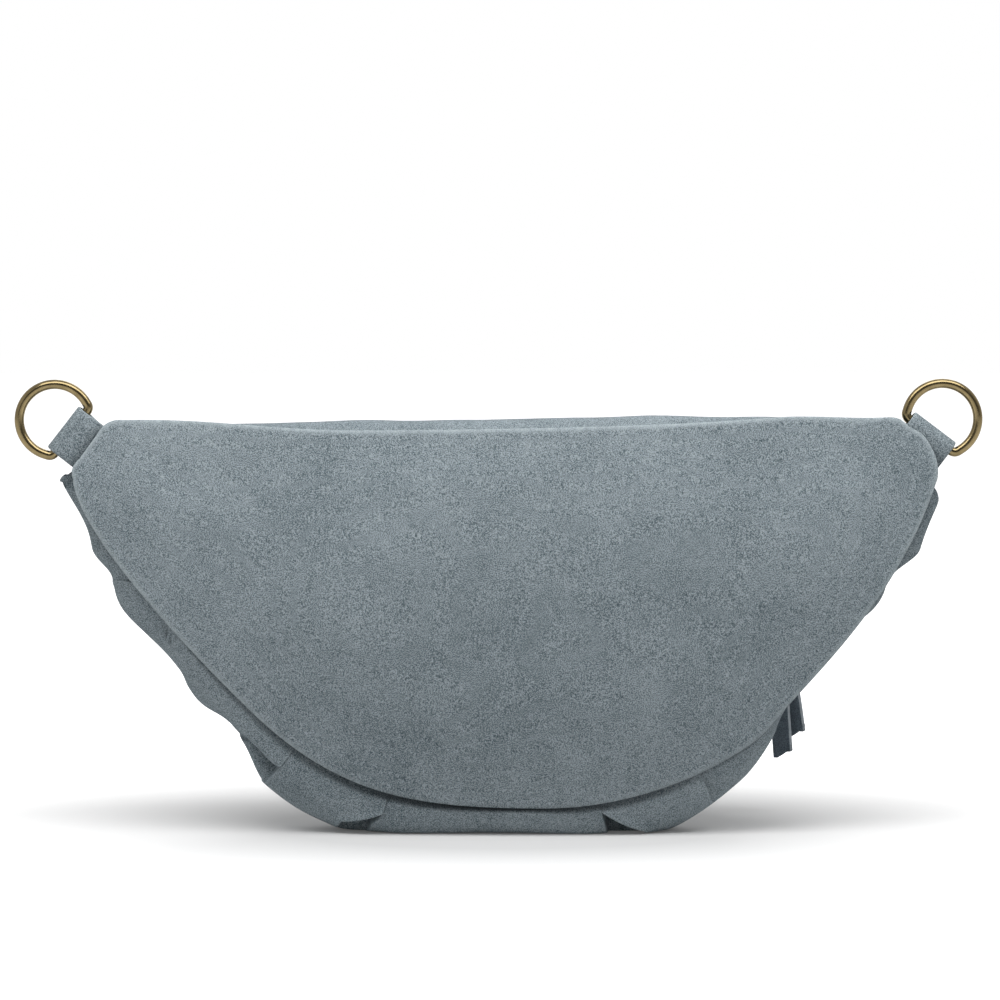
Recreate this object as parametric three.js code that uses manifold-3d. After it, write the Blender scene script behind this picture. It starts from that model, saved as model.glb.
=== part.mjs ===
// A soft suede half-moon waist bag that stands on its base, with its flat back panel to the rear.
// Sizes are in millimetres. X runs across the bag, Y from the back panel to the zipped front, Z up.
import * as THREE from 'three';
import { mergeVertices } from 'three/addons/utils/BufferGeometryUtils.js';
import Module from 'manifold-3d';

const wasm = await Module();
wasm.setup();

// Thickness of the materials, and the clearances between the pieces.
const suede = 1.4;
const liningCloth = 0.6;
const stiffener = 1;
const tapeCloth = 0.7;
const fitGap = 0.3;
const layerGap = 0.5;
const liningSlack = 1;

// Back panel: a half moon with a sagging top edge and two cut corners.
const topHeight = 157.4;
const topSag = 4;
const topRise = 0.9;
const topHalfWidth = 142;
const topRound = 8.5;
const cornerDrop = 21.9;
const cornerRise = 4.5;
const cornerEase = 0.5;
const seamHeight = 11;
const bottomX = 10.7;
const bottomHandleLeft = 47.3;
const bottomHandleRight = 43.4;
const chamferRun = 10.5;
const chamferRise = 14.3;
const slump = 5;
const panelRound = 0.4;
const liningInset = 6;

// Slip pocket sewn on the back lining.
const pocketHalfWidth = 62;
const pocketLow = 48;
const pocketHigh = 118;

// Zip: an arc in plan round an upright axis behind the bag, its tape leaning back a little.
const zipHeight = 96;
const zipDepth = 56;
const zipRadius = 250;
const tapeLean = 10;
const tapeOuter = 11;
const endTapeOuter = 8.6;
const toothPitch = 3.9;
const toothWidth = 2;
const toothTip = 1.7;
const toothRoot = 4.6;
const toothHalfThick = 1.2;
const cordOuter = 5.3;
const cordHalfThick = 0.7;
const sliderX = 100;
const sliderLength = 15;
const plateThick = 0.9;
const flangeThick = 0.9;
const slotHalfWidth = 2;
const stopLength = 2.2;
const endTapeTail = 6;
const windowClose = 5;

// Slider bridge and the leather thong looped over it.
const bridgeLength = 11;
const bridgeBar = 1.8;
const bridgeHole = 2.8;
const thongWidth = 7.4;
const thongThick = 1.9;
const thongLean = 12;
const thongInner = 75;
const thongOuter = 68;
const thongFan = 2.1;
const thongSway = 3;
const thongSlant = 5;

// The origin lies on the base, this far in front of the back panel's inner face.
const originDepth = 24;

// Front: lower panel and yoke.
const lipClear = 0.6;
const seamHalfGap = 0.2;
const sideDrop = 9;
const seamInset = 1;
const yokeCrest = 13;
const yokeTopDrop = 1;
const yokeTopInset = 4;
const yokeCornerCut = 5.5;
const sideBulgeDepth = 9;
const sideBulgeLeft = 28;
const sideBulgeRight = 9;
const yokePuffLeft = 6;
const yokePuffRight = 9;
const sewnFrom = 0.955;
const sewnMiddle = 0.98;
const yokeLipHandle = 42;
const yokeTopHandle = 14;
const tuckLift = 3.6;
const flareLeft = 46;
const flareMiddle = 34;
const flareRight = 42;
const flareForward = 11;
const lowerFullness = 96;
const tuckOuterLeft = -0.545;
const tuckInnerLeft = -0.307;
const tuckInnerRight = 0.185;
const tuckOuterRight = 0.43;

// D-rings on folded suede tabs.
const wire = 3.6;
const ringRadius = 13.4;
const ringRise = 7.4;
const ringCorner = 2.4;
const ringSplay = 20;
const barClear = 0.4;
const tabWidth = 19.2;
const tabTuck = 10;
const tabReachLeft = 8.6;
const tabReachRight = 5.4;
const tabAngleLeft = 38;
const tabAngleRight = 53;

// Derived sizes.
const cornerHalfWidth = topHalfWidth + topRound + chamferRun + cornerEase;
const cornerHeight = topHeight - cornerDrop;
const yokeTopHalf = topHalfWidth - yokeTopInset;
const lean = THREE.MathUtils.degToRad(tapeLean);
const zipAxisY = zipDepth - zipRadius;
const panelLow = tapeCloth / 2 + layerGap;
const panelFace = panelLow + suede;
const channelHalf = cordOuter + 0.4;
const sliderHalf = channelHalf + flangeThick;
const plateLow = toothHalfThick + 0.35;
const plateTop = plateLow + plateThick;
const windowHalf = sliderHalf + lipClear;
const sliderAngle = Math.asin(sliderX / zipRadius);
const angleOf = (length) => length / zipRadius;
const chainAngle = sliderAngle - angleOf(sliderLength / 2 + 2 * fitGap);
const windowAngle = sliderAngle + angleOf(sliderLength / 2 + stopLength + 2);
const tapeEndAngle = sliderAngle + angleOf(sliderLength / 2 + endTapeTail);
const arcAngle = tapeEndAngle + angleOf(1);
const arcShare = 0.82;
const barNormal = plateTop + bridgeHole + bridgeBar / 2;
const tabRoom = 2 * suede + 5 * fitGap;

const vec = (x, y, z) => new THREE.Vector3(x, y, z);
const flat = (x, y) => new THREE.Vector2(x, y);
const smooth = THREE.MathUtils.smoothstep;

// Colours and finishes.
const finish = (colour, roughness, metalness) => new THREE.MeshStandardMaterial({
  color: colour,
  roughness,
  metalness,
});
const suedeFinish = () => finish(0x77848a, 0.95, 0);
const liningFinish = () => finish(0x4d5660, 0.9, 0);
const tapeFinish = () => finish(0x3c444b, 0.85, 0);
const brassFinish = () => finish(0x8a7440, 0.35, 1);
const thongFinish = () => finish(0x39434b, 0.7, 0);

const bag = new THREE.Group();
bag.name = 'fanny_pack';

function add(name, geometry, material) {
  const mesh = new THREE.Mesh(geometry, material);
  mesh.name = name;
  mesh.position.y = -originDepth;
  bag.add(mesh);
}

// A closed geometry from corner points and triangles, turned so that its faces point outward.
function closedGeometry(points, triangles) {
  const volume = triangles.reduce((sum, [a, b, c]) => {
    const normal = points[b].clone().cross(points[c]);
    return sum + points[a].dot(normal);
  }, 0);
  const index = triangles.flatMap(([a, b, c]) => (volume < 0 ? [a, c, b] : [a, b, c]));
  const geometry = new THREE.BufferGeometry().setFromPoints(points);
  geometry.setIndex(index);
  return geometry;
}

// Joins equal closed loops of points one after the other, and closes both ends.
function loft(loops) {
  const count = loops[0].length;
  const points = loops.flat();
  const triangles = [];
  for (let i = 0; i + 1 < loops.length; i += 1) {
    for (let j = 0; j < count; j += 1) {
      const a = i * count + j;
      const b = i * count + (j + 1) % count;
      triangles.push([a, b, b + count], [a, b + count, a + count]);
    }
  }
  const last = (loops.length - 1) * count;
  for (let j = 1; j + 1 < count; j += 1) {
    triangles.push([0, j + 1, j], [last, last + j, last + j + 1]);
  }
  return closedGeometry(points, triangles);
}

// A sheet of cloth or leather between two grids of points.
function sheet(outer, inner) {
  const rows = outer.length;
  const columns = outer[0].length;
  const size = rows * columns;
  const points = [...outer.flat(), ...inner.flat()];
  const at = (i, j) => i * columns + j;
  const triangles = [];
  for (let i = 0; i + 1 < rows; i += 1) {
    for (let j = 0; j + 1 < columns; j += 1) {
      const [a, b, c, d] = [at(i, j), at(i + 1, j), at(i + 1, j + 1), at(i, j + 1)];
      triangles.push([a, b, c], [a, c, d]);
      triangles.push([a + size, c + size, b + size], [a + size, d + size, c + size]);
    }
  }
  const rim = [];
  for (let j = 0; j + 1 < columns; j += 1) rim.push(at(0, j));
  for (let i = 0; i + 1 < rows; i += 1) rim.push(at(i, columns - 1));
  for (let j = columns - 1; j > 0; j -= 1) rim.push(at(rows - 1, j));
  for (let i = rows - 1; i > 0; i -= 1) rim.push(at(i, 0));
  rim.forEach((a, k) => {
    const b = rim[(k + 1) % rim.length];
    triangles.push([a, b, b + size], [a, b + size, a + size]);
  });
  return closedGeometry(points, triangles);
}

// Outward directions of a grid of points, and a grid moved along them.
function gridNormals(grid) {
  const rows = grid.length;
  const columns = grid[0].length;
  return grid.map((row, i) => row.map((_, j) => {
    const along = grid[Math.min(i + 1, rows - 1)][j].clone().sub(grid[Math.max(i - 1, 0)][j]);
    const across = row[Math.min(j + 1, columns - 1)].clone().sub(row[Math.max(j - 1, 0)]);
    return across.cross(along).normalize();
  }));
}

function movedGrid(grid, distance) {
  const normals = gridNormals(grid);
  return grid.map((row, i) => row.map((point, j) => (
    point.clone().addScaledVector(normals[i][j], distance(i, j))
  )));
}

function solidOf(geometry) {
  const plain = geometry.clone();
  plain.deleteAttribute('normal');
  plain.deleteAttribute('uv');
  const merged = mergeVertices(plain);
  return new wasm.Manifold(new wasm.Mesh({
    numProp: 3,
    vertProperties: new Float32Array(merged.attributes.position.array),
    triVerts: new Uint32Array(merged.index.array),
  }));
}

function geometryOf(solid) {
  const mesh = solid.getMesh();
  const geometry = new THREE.BufferGeometry();
  geometry.setAttribute('position', new THREE.BufferAttribute(mesh.vertProperties, 3));
  geometry.setIndex(new THREE.BufferAttribute(mesh.triVerts, 1));
  return geometry;
}

function extruded(shape, depth, curveSegments = 6) {
  return new THREE.ExtrudeGeometry(shape, { depth, curveSegments, bevelEnabled: false });
}

// Outline of the back panel, left corner first, along the bottom to the right and back over the top.
const chamferLow = flat(cornerHalfWidth - cornerEase, cornerHeight + cornerRise);
const chamferHigh = flat(chamferLow.x - chamferRun, chamferLow.y + chamferRise);
const chamferOut = flat(chamferRise, chamferRun).normalize();
const onSide = (across, up) => [across * cornerHalfWidth, up * cornerHeight];
const onTurn = (inward, up) => [cornerHalfWidth - inward * chamferRun, cornerHeight + up * cornerDrop];
const onTop = (across, rise) => flat(across * topHalfWidth, topHeight + rise);
const topEdge = [
  onTop(-1, 0),
  onTop(-0.74, 0.15 * topSag),
  onTop(-0.62, -1.08 * topSag),
  onTop(-0.352, -topSag),
  onTop(0, -0.9 * topSag),
  onTop(0.423, -0.68 * topSag),
  onTop(0.704, topRise),
  onTop(0.803, 2.3 * topRise),
  onTop(0.915, 0.2 * topRise),
  onTop(1, 1.1 * topRise),
];
const curveAlong = (path, [first, second, last]) => path.bezierCurveTo(
  first.x,
  first.y,
  second.x,
  second.y,
  last.x,
  last.y,
);
const outline = new THREE.Shape();
outline.moveTo(-cornerHalfWidth, cornerHeight);
outline.bezierCurveTo(...onSide(-0.993, 0.823), ...onSide(-0.625, 0.374), ...onSide(-0.588, 0.331));
outline.bezierCurveTo(...onSide(-0.399, 0.112), bottomX - bottomHandleLeft, seamHeight, bottomX, seamHeight);
outline.bezierCurveTo(
  bottomX + bottomHandleRight, seamHeight,
  ...onSide(0.558, 0.251),
  ...onSide(0.593, 0.303),
);
outline.bezierCurveTo(...onSide(0.679, 0.429), ...onSide(0.908, 0.65), cornerHalfWidth, cornerHeight);
outline.quadraticCurveTo(...onTurn(-0.067, 0.228), ...onTurn(0.114, 0.425));
outline.quadraticCurveTo(...onTurn(0.381, 0.712), ...onTurn(0.857, 0.922));
outline.quadraticCurveTo(...onTurn(1.143, 1.059), topEdge[9].x, topEdge[9].y);
curveAlong(outline, topEdge.slice(6, 9).reverse());
curveAlong(outline, topEdge.slice(3, 6).reverse());
curveAlong(outline, topEdge.slice(0, 3).reverse());
outline.quadraticCurveTo(1.5 - chamferHigh.x, topHeight + 0.8, -chamferHigh.x - 1.8, chamferHigh.y - 2.4);
outline.lineTo(2.2 - chamferLow.x, chamferLow.y + 3);
outline.quadraticCurveTo(-cornerHalfWidth - 1.4, chamferLow.y - 0.4, -cornerHalfWidth, cornerHeight);

const lowerEdge = new THREE.CurvePath();
lowerEdge.curves = outline.curves.slice(0, 4);

const slumped = (point) => flat(
  point.x + slump * Math.max(0, 1 - point.y / cornerHeight) ** 1.6,
  point.y,
);

function outlineShape(count, inset) {
  const points = outline.getSpacedPoints(count).slice(0, count).map(slumped);
  const inside = points.map((point, i) => {
    const before = points[(i + count - 1) % count];
    const after = points[(i + 1) % count];
    const along = after.clone().sub(before).normalize();
    return flat(point.x - along.y * inset, point.y + along.x * inset);
  });
  return new THREE.Shape(inside);
}

// A plate that follows the back panel, from depth yLow to yHigh.
function backPlate(count, inset, yLow, yHigh) {
  const geometry = extruded(outlineShape(count, inset), yHigh - yLow);
  geometry.rotateX(Math.PI / 2);
  geometry.translate(0, yHigh, 0);
  return geometry;
}

// Frame of a tab: its bar stands off the cut corner, along the tab's own direction.
function tabFrame(side, reach, angle) {
  const middle = flat((chamferLow.x + chamferHigh.x) / 2, (chamferLow.y + chamferHigh.y) / 2);
  const tilt = THREE.MathUtils.degToRad(angle);
  const out = vec(side * Math.cos(tilt), 0, Math.sin(tilt));
  const depth = fitGap + suede + barClear + wire / 2;
  const bar = vec(side * middle.x, depth, middle.y).addScaledVector(out, reach);
  const across = vec(0, 1, 0).cross(out);
  return { bar, out, across, reach };
}
const tabs = {
  left: tabFrame(-1, tabReachLeft, tabAngleLeft),
  right: tabFrame(1, tabReachRight, tabAngleRight),
};

// Room for the tab's two tails between the back panel and the yoke.
function tabPocket({ bar, out, across, reach }) {
  const length = reach + tabTuck + 2 * fitGap;
  const geometry = new THREE.BoxGeometry(tabWidth + 2 * fitGap, 8 * tabRoom, length * 2);
  geometry.applyMatrix4(new THREE.Matrix4().makeBasis(across, vec(0, 1, 0), out));
  geometry.translate(bar.x, 0, bar.z);
  return solidOf(geometry);
}
const pockets = tabPocket(tabs.left).add(tabPocket(tabs.right));

// Least depth of the yoke at a place: it lies on the back panel, and over the tails of the tabs.
function rimDepth(x, z) {
  const over = Object.values(tabs).map(({ bar, out, across, reach }) => {
    const place = vec(x - bar.x, 0, z - bar.z);
    const aside = Math.abs(place.dot(across)) - tabWidth / 2;
    const inside = place.dot(out) + reach + tabTuck;
    return (1 - smooth(aside, 4, 9)) * smooth(inside, -9, -4);
  });
  return THREE.MathUtils.lerp(fitGap, tabRoom, Math.max(...over));
}

const panel = new THREE.ExtrudeGeometry(outlineShape(84, panelRound), {
  depth: suede - 2 * panelRound,
  bevelThickness: panelRound,
  bevelSize: panelRound,
  bevelSegments: 1,
});
panel.rotateX(Math.PI / 2);
panel.translate(0, -panelRound, 0);
add('back_panel', panel, suedeFinish());

const stiffenerHigh = fitGap + stiffener;
const backLiningLow = stiffenerHigh + fitGap;
const backLiningHigh = backLiningLow + liningCloth;
const interlining = solidOf(backPlate(48, liningInset, fitGap, stiffenerHigh));
add('back_interlining', geometryOf(interlining.subtract(pockets)), liningFinish());
const backLining = solidOf(backPlate(48, liningInset, backLiningLow, backLiningHigh));
add('back_lining', geometryOf(backLining.subtract(pockets)), liningFinish());

const pocketDepth = liningCloth;
const pocket = new THREE.BoxGeometry(2 * pocketHalfWidth, pocketDepth, pocketHigh - pocketLow);
pocket.translate(0, backLiningHigh + fitGap + pocketDepth / 2, (pocketLow + pocketHigh) / 2);
add('slip_pocket', pocket, liningFinish());

// A point by the zip: angle round the axis, height up the tape, distance out of the tape.
function zipPoint(angle, up, out) {
  const radius = zipRadius - up * Math.sin(lean) + out * Math.cos(lean);
  return vec(
    radius * Math.sin(angle),
    zipAxisY + radius * Math.cos(angle),
    zipHeight + up * Math.cos(lean) + out * Math.sin(lean),
  );
}

// The seam under the back panel, from -1 at the left side through the base to 1 at the right.
function seamAt(share) {
  const edge = lowerEdge.getPointAt(share);
  const along = lowerEdge.getTangentAt(share);
  const normal = vec(along.y, 0, -along.x);
  const place = slumped(edge);
  const point = vec(place.x, fitGap, place.y).addScaledVector(normal, -seamInset);
  return { point, normal };
}

// Share of the lower edge between its end on one side and the end of the lower panel.
function endShare(side) {
  let low = 0;
  let high = 0.5;
  for (let i = 0; i < 40; i += 1) {
    const middle = (low + high) / 2;
    const share = side < 0 ? middle : 1 - middle;
    if (lowerEdge.getPointAt(share).y > zipHeight - sideDrop) low = middle;
    else high = middle;
  }
  return low;
}
const endLeft = endShare(-1);
const endRight = endShare(1);
const seam = (u) => seamAt(THREE.MathUtils.lerp(endLeft, 1 - endRight, (u + 1) / 2));

// The side seam, from the end of the lower panel at 0 up to the panel's corner at 1.
const sideSeam = (side, rise) => (
  seamAt(side < 0 ? endLeft * (1 - rise) : 1 - endRight * (1 - rise)).point
);
const sewnShare = (u) => smooth(Math.abs(u), sewnFrom, 1);
const sideBulge = (side) => (side < 0 ? sideBulgeLeft : sideBulgeRight);

// The front's own line across: the zip's arc, then a bulge and a bend back to the side seam.
function frontPoint(u, up, out) {
  const side = Math.sign(u);
  const share = Math.abs(u) / arcShare;
  if (share <= 1) return zipPoint(side * share * arcAngle, up, out);
  const start = flat(zipRadius * Math.sin(arcAngle), zipAxisY + zipRadius * Math.cos(arcAngle));
  const end = flat(Math.abs(sideSeam(side, 0.2).x), fitGap);
  const turn = flat(Math.cos(arcAngle), -Math.sin(arcAngle));
  const middle = start.clone().addScaledVector(turn, (end.x - start.x) * 0.5);
  const bulge = flat(end.x + sideBulge(side), sideBulgeDepth);
  const bend = new THREE.CubicBezierCurve(start, middle, bulge, end);
  const t = (Math.abs(u) - arcShare) / (1 - arcShare);
  const place = bend.getPoint(t);
  const along = bend.getTangent(t);
  const reach = (out * Math.cos(lean) - up * Math.sin(lean)) * (1 - t);
  return vec(
    side * (place.x - along.y * reach),
    place.y + along.x * reach,
    zipHeight + up * Math.cos(lean) + out * Math.sin(lean),
  );
}

const windowU = arcShare * windowAngle / arcAngle;
const closeU = arcShare * (windowAngle + angleOf(windowClose)) / arcAngle;
const lipEdge = (u) => THREE.MathUtils.lerp(
  windowHalf,
  seamHalfGap,
  smooth(Math.abs(u), windowU, closeU),
);

// A value that varies along the front, given at nine even stations from left to right.
function profile(values) {
  const curve = new THREE.SplineCurve(values.map((value, i) => flat(i, value)));
  return (u) => curve.getPoint((u + 1) / 2).y;
}
const scaled = (size, shares) => shares.map((share) => size * share);
const flare = profile([
  ...scaled(flareLeft, [0.3, 0.7, 1.12, 1.05]),
  flareMiddle,
  ...scaled(flareRight, [1, 0.74, 0.02, 0]),
]);
const flareDepth = profile(scaled(flareForward, [0.3, 1, 1, 0.8, 0.7, 0.8, 1, 1, 0.3]));
const lowerHandle = profile(scaled(lowerFullness, [0.1, 0.31, 0.6, 0.88, 1, 0.88, 0.6, 0.31, 0.1]));

function bezier(points, t) {
  return new THREE.CubicBezierCurve3(...points).getPoint(t);
}

// One point of the smooth lower panel: s runs from the back seam round the base to the zip.
function lowerPoint(u, s) {
  const { point, normal } = seam(u);
  const lip = frontPoint(u, -lipEdge(u), panelFace);
  const side = Math.sign(u);
  const sewn = sewnShare(u);
  const below = frontPoint(u, -lipEdge(u) - lowerHandle(u), panelFace).lerp(sideSeam(side, 0.14), sewn);
  const flared = point.clone().addScaledVector(normal, flare(u));
  flared.y += flareDepth(u);
  flared.lerp(sideSeam(side, 0.07), sewn);
  const place = bezier([point, flared, below, lip], s);
  place.z = Math.max(place.z, 0);
  return place;
}

// Upper edge of the yoke, from the left side over the top to the right side.
const yokeEdge = new THREE.Path();
const cutLow = chamferLow.clone().addScaledVector(chamferOut, -yokeCornerCut);
const cutHigh = chamferHigh.clone().addScaledVector(chamferOut, -yokeCornerCut);
yokeEdge.moveTo(seamInset - cornerHalfWidth, cornerHeight - 3);
yokeEdge.lineTo(-cutLow.x, cutLow.y);
yokeEdge.lineTo(-cutHigh.x, cutHigh.y);
const yokeTop = [
  flat(-yokeTopHalf, topHeight - yokeTopDrop),
  ...topEdge.slice(1, -1).map(({ x, y }) => flat(x, y - yokeTopDrop)),
  flat(yokeTopHalf, topHeight - yokeTopDrop),
];
yokeEdge.lineTo(yokeTop[0].x, yokeTop[0].y);
curveAlong(yokeEdge, yokeTop.slice(1, 4));
curveAlong(yokeEdge, yokeTop.slice(4, 7));
curveAlong(yokeEdge, yokeTop.slice(7, 10));
yokeEdge.lineTo(cutHigh.x, cutHigh.y);
yokeEdge.lineTo(cutLow.x, cutLow.y);
yokeEdge.lineTo(cornerHalfWidth - seamInset, cornerHeight - 3);

// One point of the yoke: s runs from the zip up to the top seam.
const middleShare = (u) => 1 - smooth(Math.abs(u), 0.72, 1);
const yokeHandle = (u) => yokeLipHandle * (0.35 + 0.65 * middleShare(u));
const crest = profile(scaled(yokeCrest, [-0.4, -0.4, 0.35, 1.1, 1, 1, 1.3, 0.4, -0.4, -0.4]));
function yokePoint(u, s) {
  const side = Math.sign(u);
  const edge = yokeEdge.getPointAt((u + 1) / 2);
  const middle = middleShare(u);
  const sewn = sewnShare(u);
  const puff = smooth(Math.abs(u), 0.84, 0.96) * (1 - smooth(Math.abs(u), 0.96, 1));
  const swell = smooth(s, 0, 0.3) * (1 - smooth(s, side < 0 ? 0.8 : 0.5, side < 0 ? 1 : 0.95));
  const top = vec(edge.x, rimDepth(edge.x, edge.y), edge.y);
  const lip = frontPoint(u, lipEdge(u), panelFace);
  const above = frontPoint(u, lipEdge(u) + yokeHandle(u), panelFace).lerp(sideSeam(side, 0.45), sewn);
  const forward = yokeTopHandle * (0.3 + 0.7 * middle) * (1 - sewn);
  const before = top.clone().add(vec(0, forward, crest(u))).lerp(sideSeam(side, 0.75), sewn);
  const place = bezier([lip, above, before, top], s);
  place.x += side * (side < 0 ? yokePuffLeft : yokePuffRight) * puff * swell;
  return place;
}

// Stations across the front, closer together at the tucks and at the ends of the zip window.
function stations(count, extra) {
  const even = Array.from({ length: count + 1 }, (_, i) => -1 + 2 * i / count);
  const kept = even.filter((u) => extra.every((value) => Math.abs(u - value) > 0.4 / count));
  return [...kept, ...extra].sort((a, b) => a - b);
}
const frontEnds = [windowU, closeU, sewnFrom, sewnMiddle].flatMap((value) => [-value, value]);

function gridOf(columns, rows, start, end, surface) {
  return columns.map((u) => Array.from({ length: rows + 1 }, (_, j) => (
    surface(u, THREE.MathUtils.lerp(start(u), end(u), j / rows))
  )));
}
const whole = [() => 0, () => 1];

// Share of a section that the zip tape takes up, which the lining stops short of.
const tapeShare = (u, handle) => Math.min(0.45, (tapeOuter + 2 - lipEdge(u)) / (3 * handle));

// The four tucks: the outer strip lies on top at the first three, the inner strip at the last.
const tuckStep = 0.014;
function tuckHeight(u) {
  if (u <= tuckOuterLeft) return smooth(u, -1, tuckOuterLeft);
  if (u <= tuckInnerLeft) return smooth(u, tuckOuterLeft + tuckStep, tuckInnerLeft);
  return u >= tuckInnerRight && u <= tuckOuterRight ? 1 : 0;
}

const tuckEdges = [
  tuckOuterLeft,
  tuckOuterLeft + tuckStep,
  tuckInnerLeft,
  tuckInnerLeft + tuckStep,
  tuckInnerRight - tuckStep,
  tuckInnerRight,
  tuckOuterRight,
  tuckOuterRight + tuckStep,
];
const lowerColumns = stations(40, [...tuckEdges, ...frontEnds]);
const lowerRows = 13;
const lowerBase = gridOf(lowerColumns, lowerRows, ...whole, lowerPoint);
const lowerOuter = movedGrid(lowerBase, (i, j) => {
  const s = j / lowerRows;
  const fade = smooth(s, 0, 0.12) * (1 - smooth(s, 0.3, 0.62));
  return tuckLift * fade * tuckHeight(lowerColumns[i]);
});
const seated = (grid, floor) => grid.map((row) => row.map((point) => (
  point.setY(Math.max(point.y, fitGap)).setZ(Math.max(point.z, floor))
)));
seated(lowerOuter, 0);
const lowerInner = seated(movedGrid(lowerOuter, () => -suede), suede);
add('front_lower_panel', sheet(lowerOuter, lowerInner), suedeFinish());

const liningColumns = stations(24, []).map((u) => u * 0.9);
const frontLiningEnd = (u) => 1 - tapeShare(u, lowerHandle(u));
const frontLiningBase = gridOf(liningColumns, 9, () => 0.05, frontLiningEnd, lowerPoint);
const liningOuter = suede + liningSlack;
add('front_lining', sheet(
  movedGrid(frontLiningBase, () => -liningOuter),
  movedGrid(frontLiningBase, () => -liningOuter - liningCloth),
), liningFinish());

const yokeColumns = stations(32, frontEnds);
const yokeOuter = gridOf(yokeColumns, 10, ...whole, yokePoint);
const yokeInner = (grid, depth) => movedGrid(grid, () => -depth).map((row) => row.map((point) => (
  point.setY(Math.max(point.y, rimDepth(point.x, point.z)))
)));
add('front_yoke', sheet(yokeOuter, yokeInner(yokeOuter, suede)), suedeFinish());

const yokeLiningStart = (u) => tapeShare(u, yokeHandle(u));
const yokeLiningColumns = liningColumns.map((u) => u * 0.9);
const yokeLiningBase = gridOf(yokeLiningColumns, 5, yokeLiningStart, () => 0.86, yokePoint);
const offBack = (grid) => grid.map((row) => row.map((point) => (
  point.setY(Math.max(point.y, backLiningHigh + fitGap))
)));
add('yoke_lining', sheet(
  offBack(yokeInner(yokeLiningBase, liningOuter)),
  offBack(yokeInner(yokeLiningBase, liningOuter + liningCloth)),
), liningFinish());

// A bar that follows the zip's arc between two angles, with a rectangular section.
function zipLoop(angle, low, high, half) {
  return [[low, -half], [high, -half], [high, half], [low, half]].map(([up, out]) => (
    zipPoint(angle, up, out)
  ));
}

function zipBar(from, to, steps, low, high, half) {
  const loops = Array.from({ length: steps + 1 }, (_, i) => (
    zipLoop(THREE.MathUtils.lerp(from, to, i / steps), low, high, half)
  ));
  return loft(loops);
}

const tapeHalf = tapeCloth / 2;
const tapeInner = cordOuter + fitGap;
add('zip_tape_upper', zipBar(-chainAngle, chainAngle, 36, tapeInner, tapeOuter, tapeHalf), tapeFinish());
add('zip_tape_lower', zipBar(-chainAngle, chainAngle, 36, -tapeOuter, -tapeInner, tapeHalf), tapeFinish());

// A row of teeth on its cord; the lower row stands half a pitch further on.
function teethRow(side, shift) {
  const count = Math.floor(2 * chainAngle / angleOf(toothPitch)) - 1;
  const first = -angleOf(count * toothPitch) / 2 + angleOf(shift);
  const cord = (angle) => zipLoop(angle, side * toothRoot, side * cordOuter, cordHalfThick);
  const tooth = (angle) => zipLoop(angle, side * toothTip, side * (toothRoot + 0.35), toothHalfThick);
  const loops = [cord(-chainAngle)];
  for (let i = 0; i < count; i += 1) {
    const start = first + angleOf((i + 0.25) * toothPitch);
    const end = start + angleOf(toothWidth);
    loops.push(cord(start), tooth(start), tooth(end), cord(end));
  }
  loops.push(cord(chainAngle));
  return loft(loops);
}
add('zip_teeth_upper', teethRow(1, 0), brassFinish());
add('zip_teeth_lower', teethRow(-1, toothPitch / 2), brassFinish());

// End tapes, forked so that the slider's post can stand between their two arms.
function endTape(side) {
  const inner = side * (chainAngle + angleOf(fitGap));
  const slotEnd = side * (sliderAngle + angleOf(sliderLength / 2 + stopLength + 1.2));
  const band = solidOf(zipBar(inner, side * tapeEndAngle, 6, -endTapeOuter, endTapeOuter, tapeHalf));
  const slotStart = inner - side * angleOf(2);
  return band.subtract(solidOf(zipBar(slotStart, slotEnd, 6, -slotHalfWidth, slotHalfWidth, 2)));
}
add('zip_end_tape_open', geometryOf(endTape(1)), tapeFinish());
add('zip_end_tape_closed', geometryOf(endTape(-1)), tapeFinish());

// Metal stops, clamped on the arms of the end tapes beyond the slider.
const stopFrom = sliderAngle + angleOf(sliderLength / 2 + 2 * fitGap);
const stopTo = stopFrom + angleOf(stopLength);
const clampLow = tapeHalf + fitGap;
const clampHigh = clampLow + 0.7;
const clampWeb = slotHalfWidth - fitGap;
const clampReach = slotHalfWidth + 1.6;

const bottomStop = solidOf(zipBar(stopFrom, stopTo, 1, -clampReach, clampReach, clampHigh))
  .subtract(solidOf(zipBar(stopFrom - 0.01, stopTo + 0.01, 1, clampWeb, clampReach + 1, clampLow)))
  .subtract(solidOf(zipBar(stopFrom - 0.01, stopTo + 0.01, 1, -clampReach - 1, -clampWeb, clampLow)));
add('zip_bottom_stop', geometryOf(bottomStop), brassFinish());

function topStop(side) {
  const webInner = side * (clampWeb - 0.8);
  const corners = [
    [webInner, -clampHigh],
    [side * clampReach, -clampHigh],
    [side * clampReach, -clampLow],
    [side * clampWeb, -clampLow],
    [side * clampWeb, clampLow],
    [side * clampReach, clampLow],
    [side * clampReach, clampHigh],
    [webInner, clampHigh],
  ];
  const shape = new THREE.Shape(corners.map(([up, out]) => flat(up, out)));
  const geometry = extruded(shape, stopLength);
  geometry.applyMatrix4(zipFrame(-stopFrom, true));
  return geometry;
}

// Local frame on the zip: first axis towards the closed end, second up the tape, third outward.
function zipFrame(angle, sectionFirst = false) {
  const origin = zipPoint(angle, 0, 0);
  const up = zipPoint(angle, 1, 0).sub(origin);
  const out = zipPoint(angle, 0, 1).sub(origin);
  const along = up.clone().cross(out);
  const matrix = sectionFirst
    ? new THREE.Matrix4().makeBasis(up, out, along)
    : new THREE.Matrix4().makeBasis(along, up, out);
  return matrix.setPosition(sectionFirst ? zipPoint(angle, 0, 0) : origin);
}
add('zip_top_stop_upper', topStop(1), brassFinish());
add('zip_top_stop_lower', topStop(-1), brassFinish());

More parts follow.
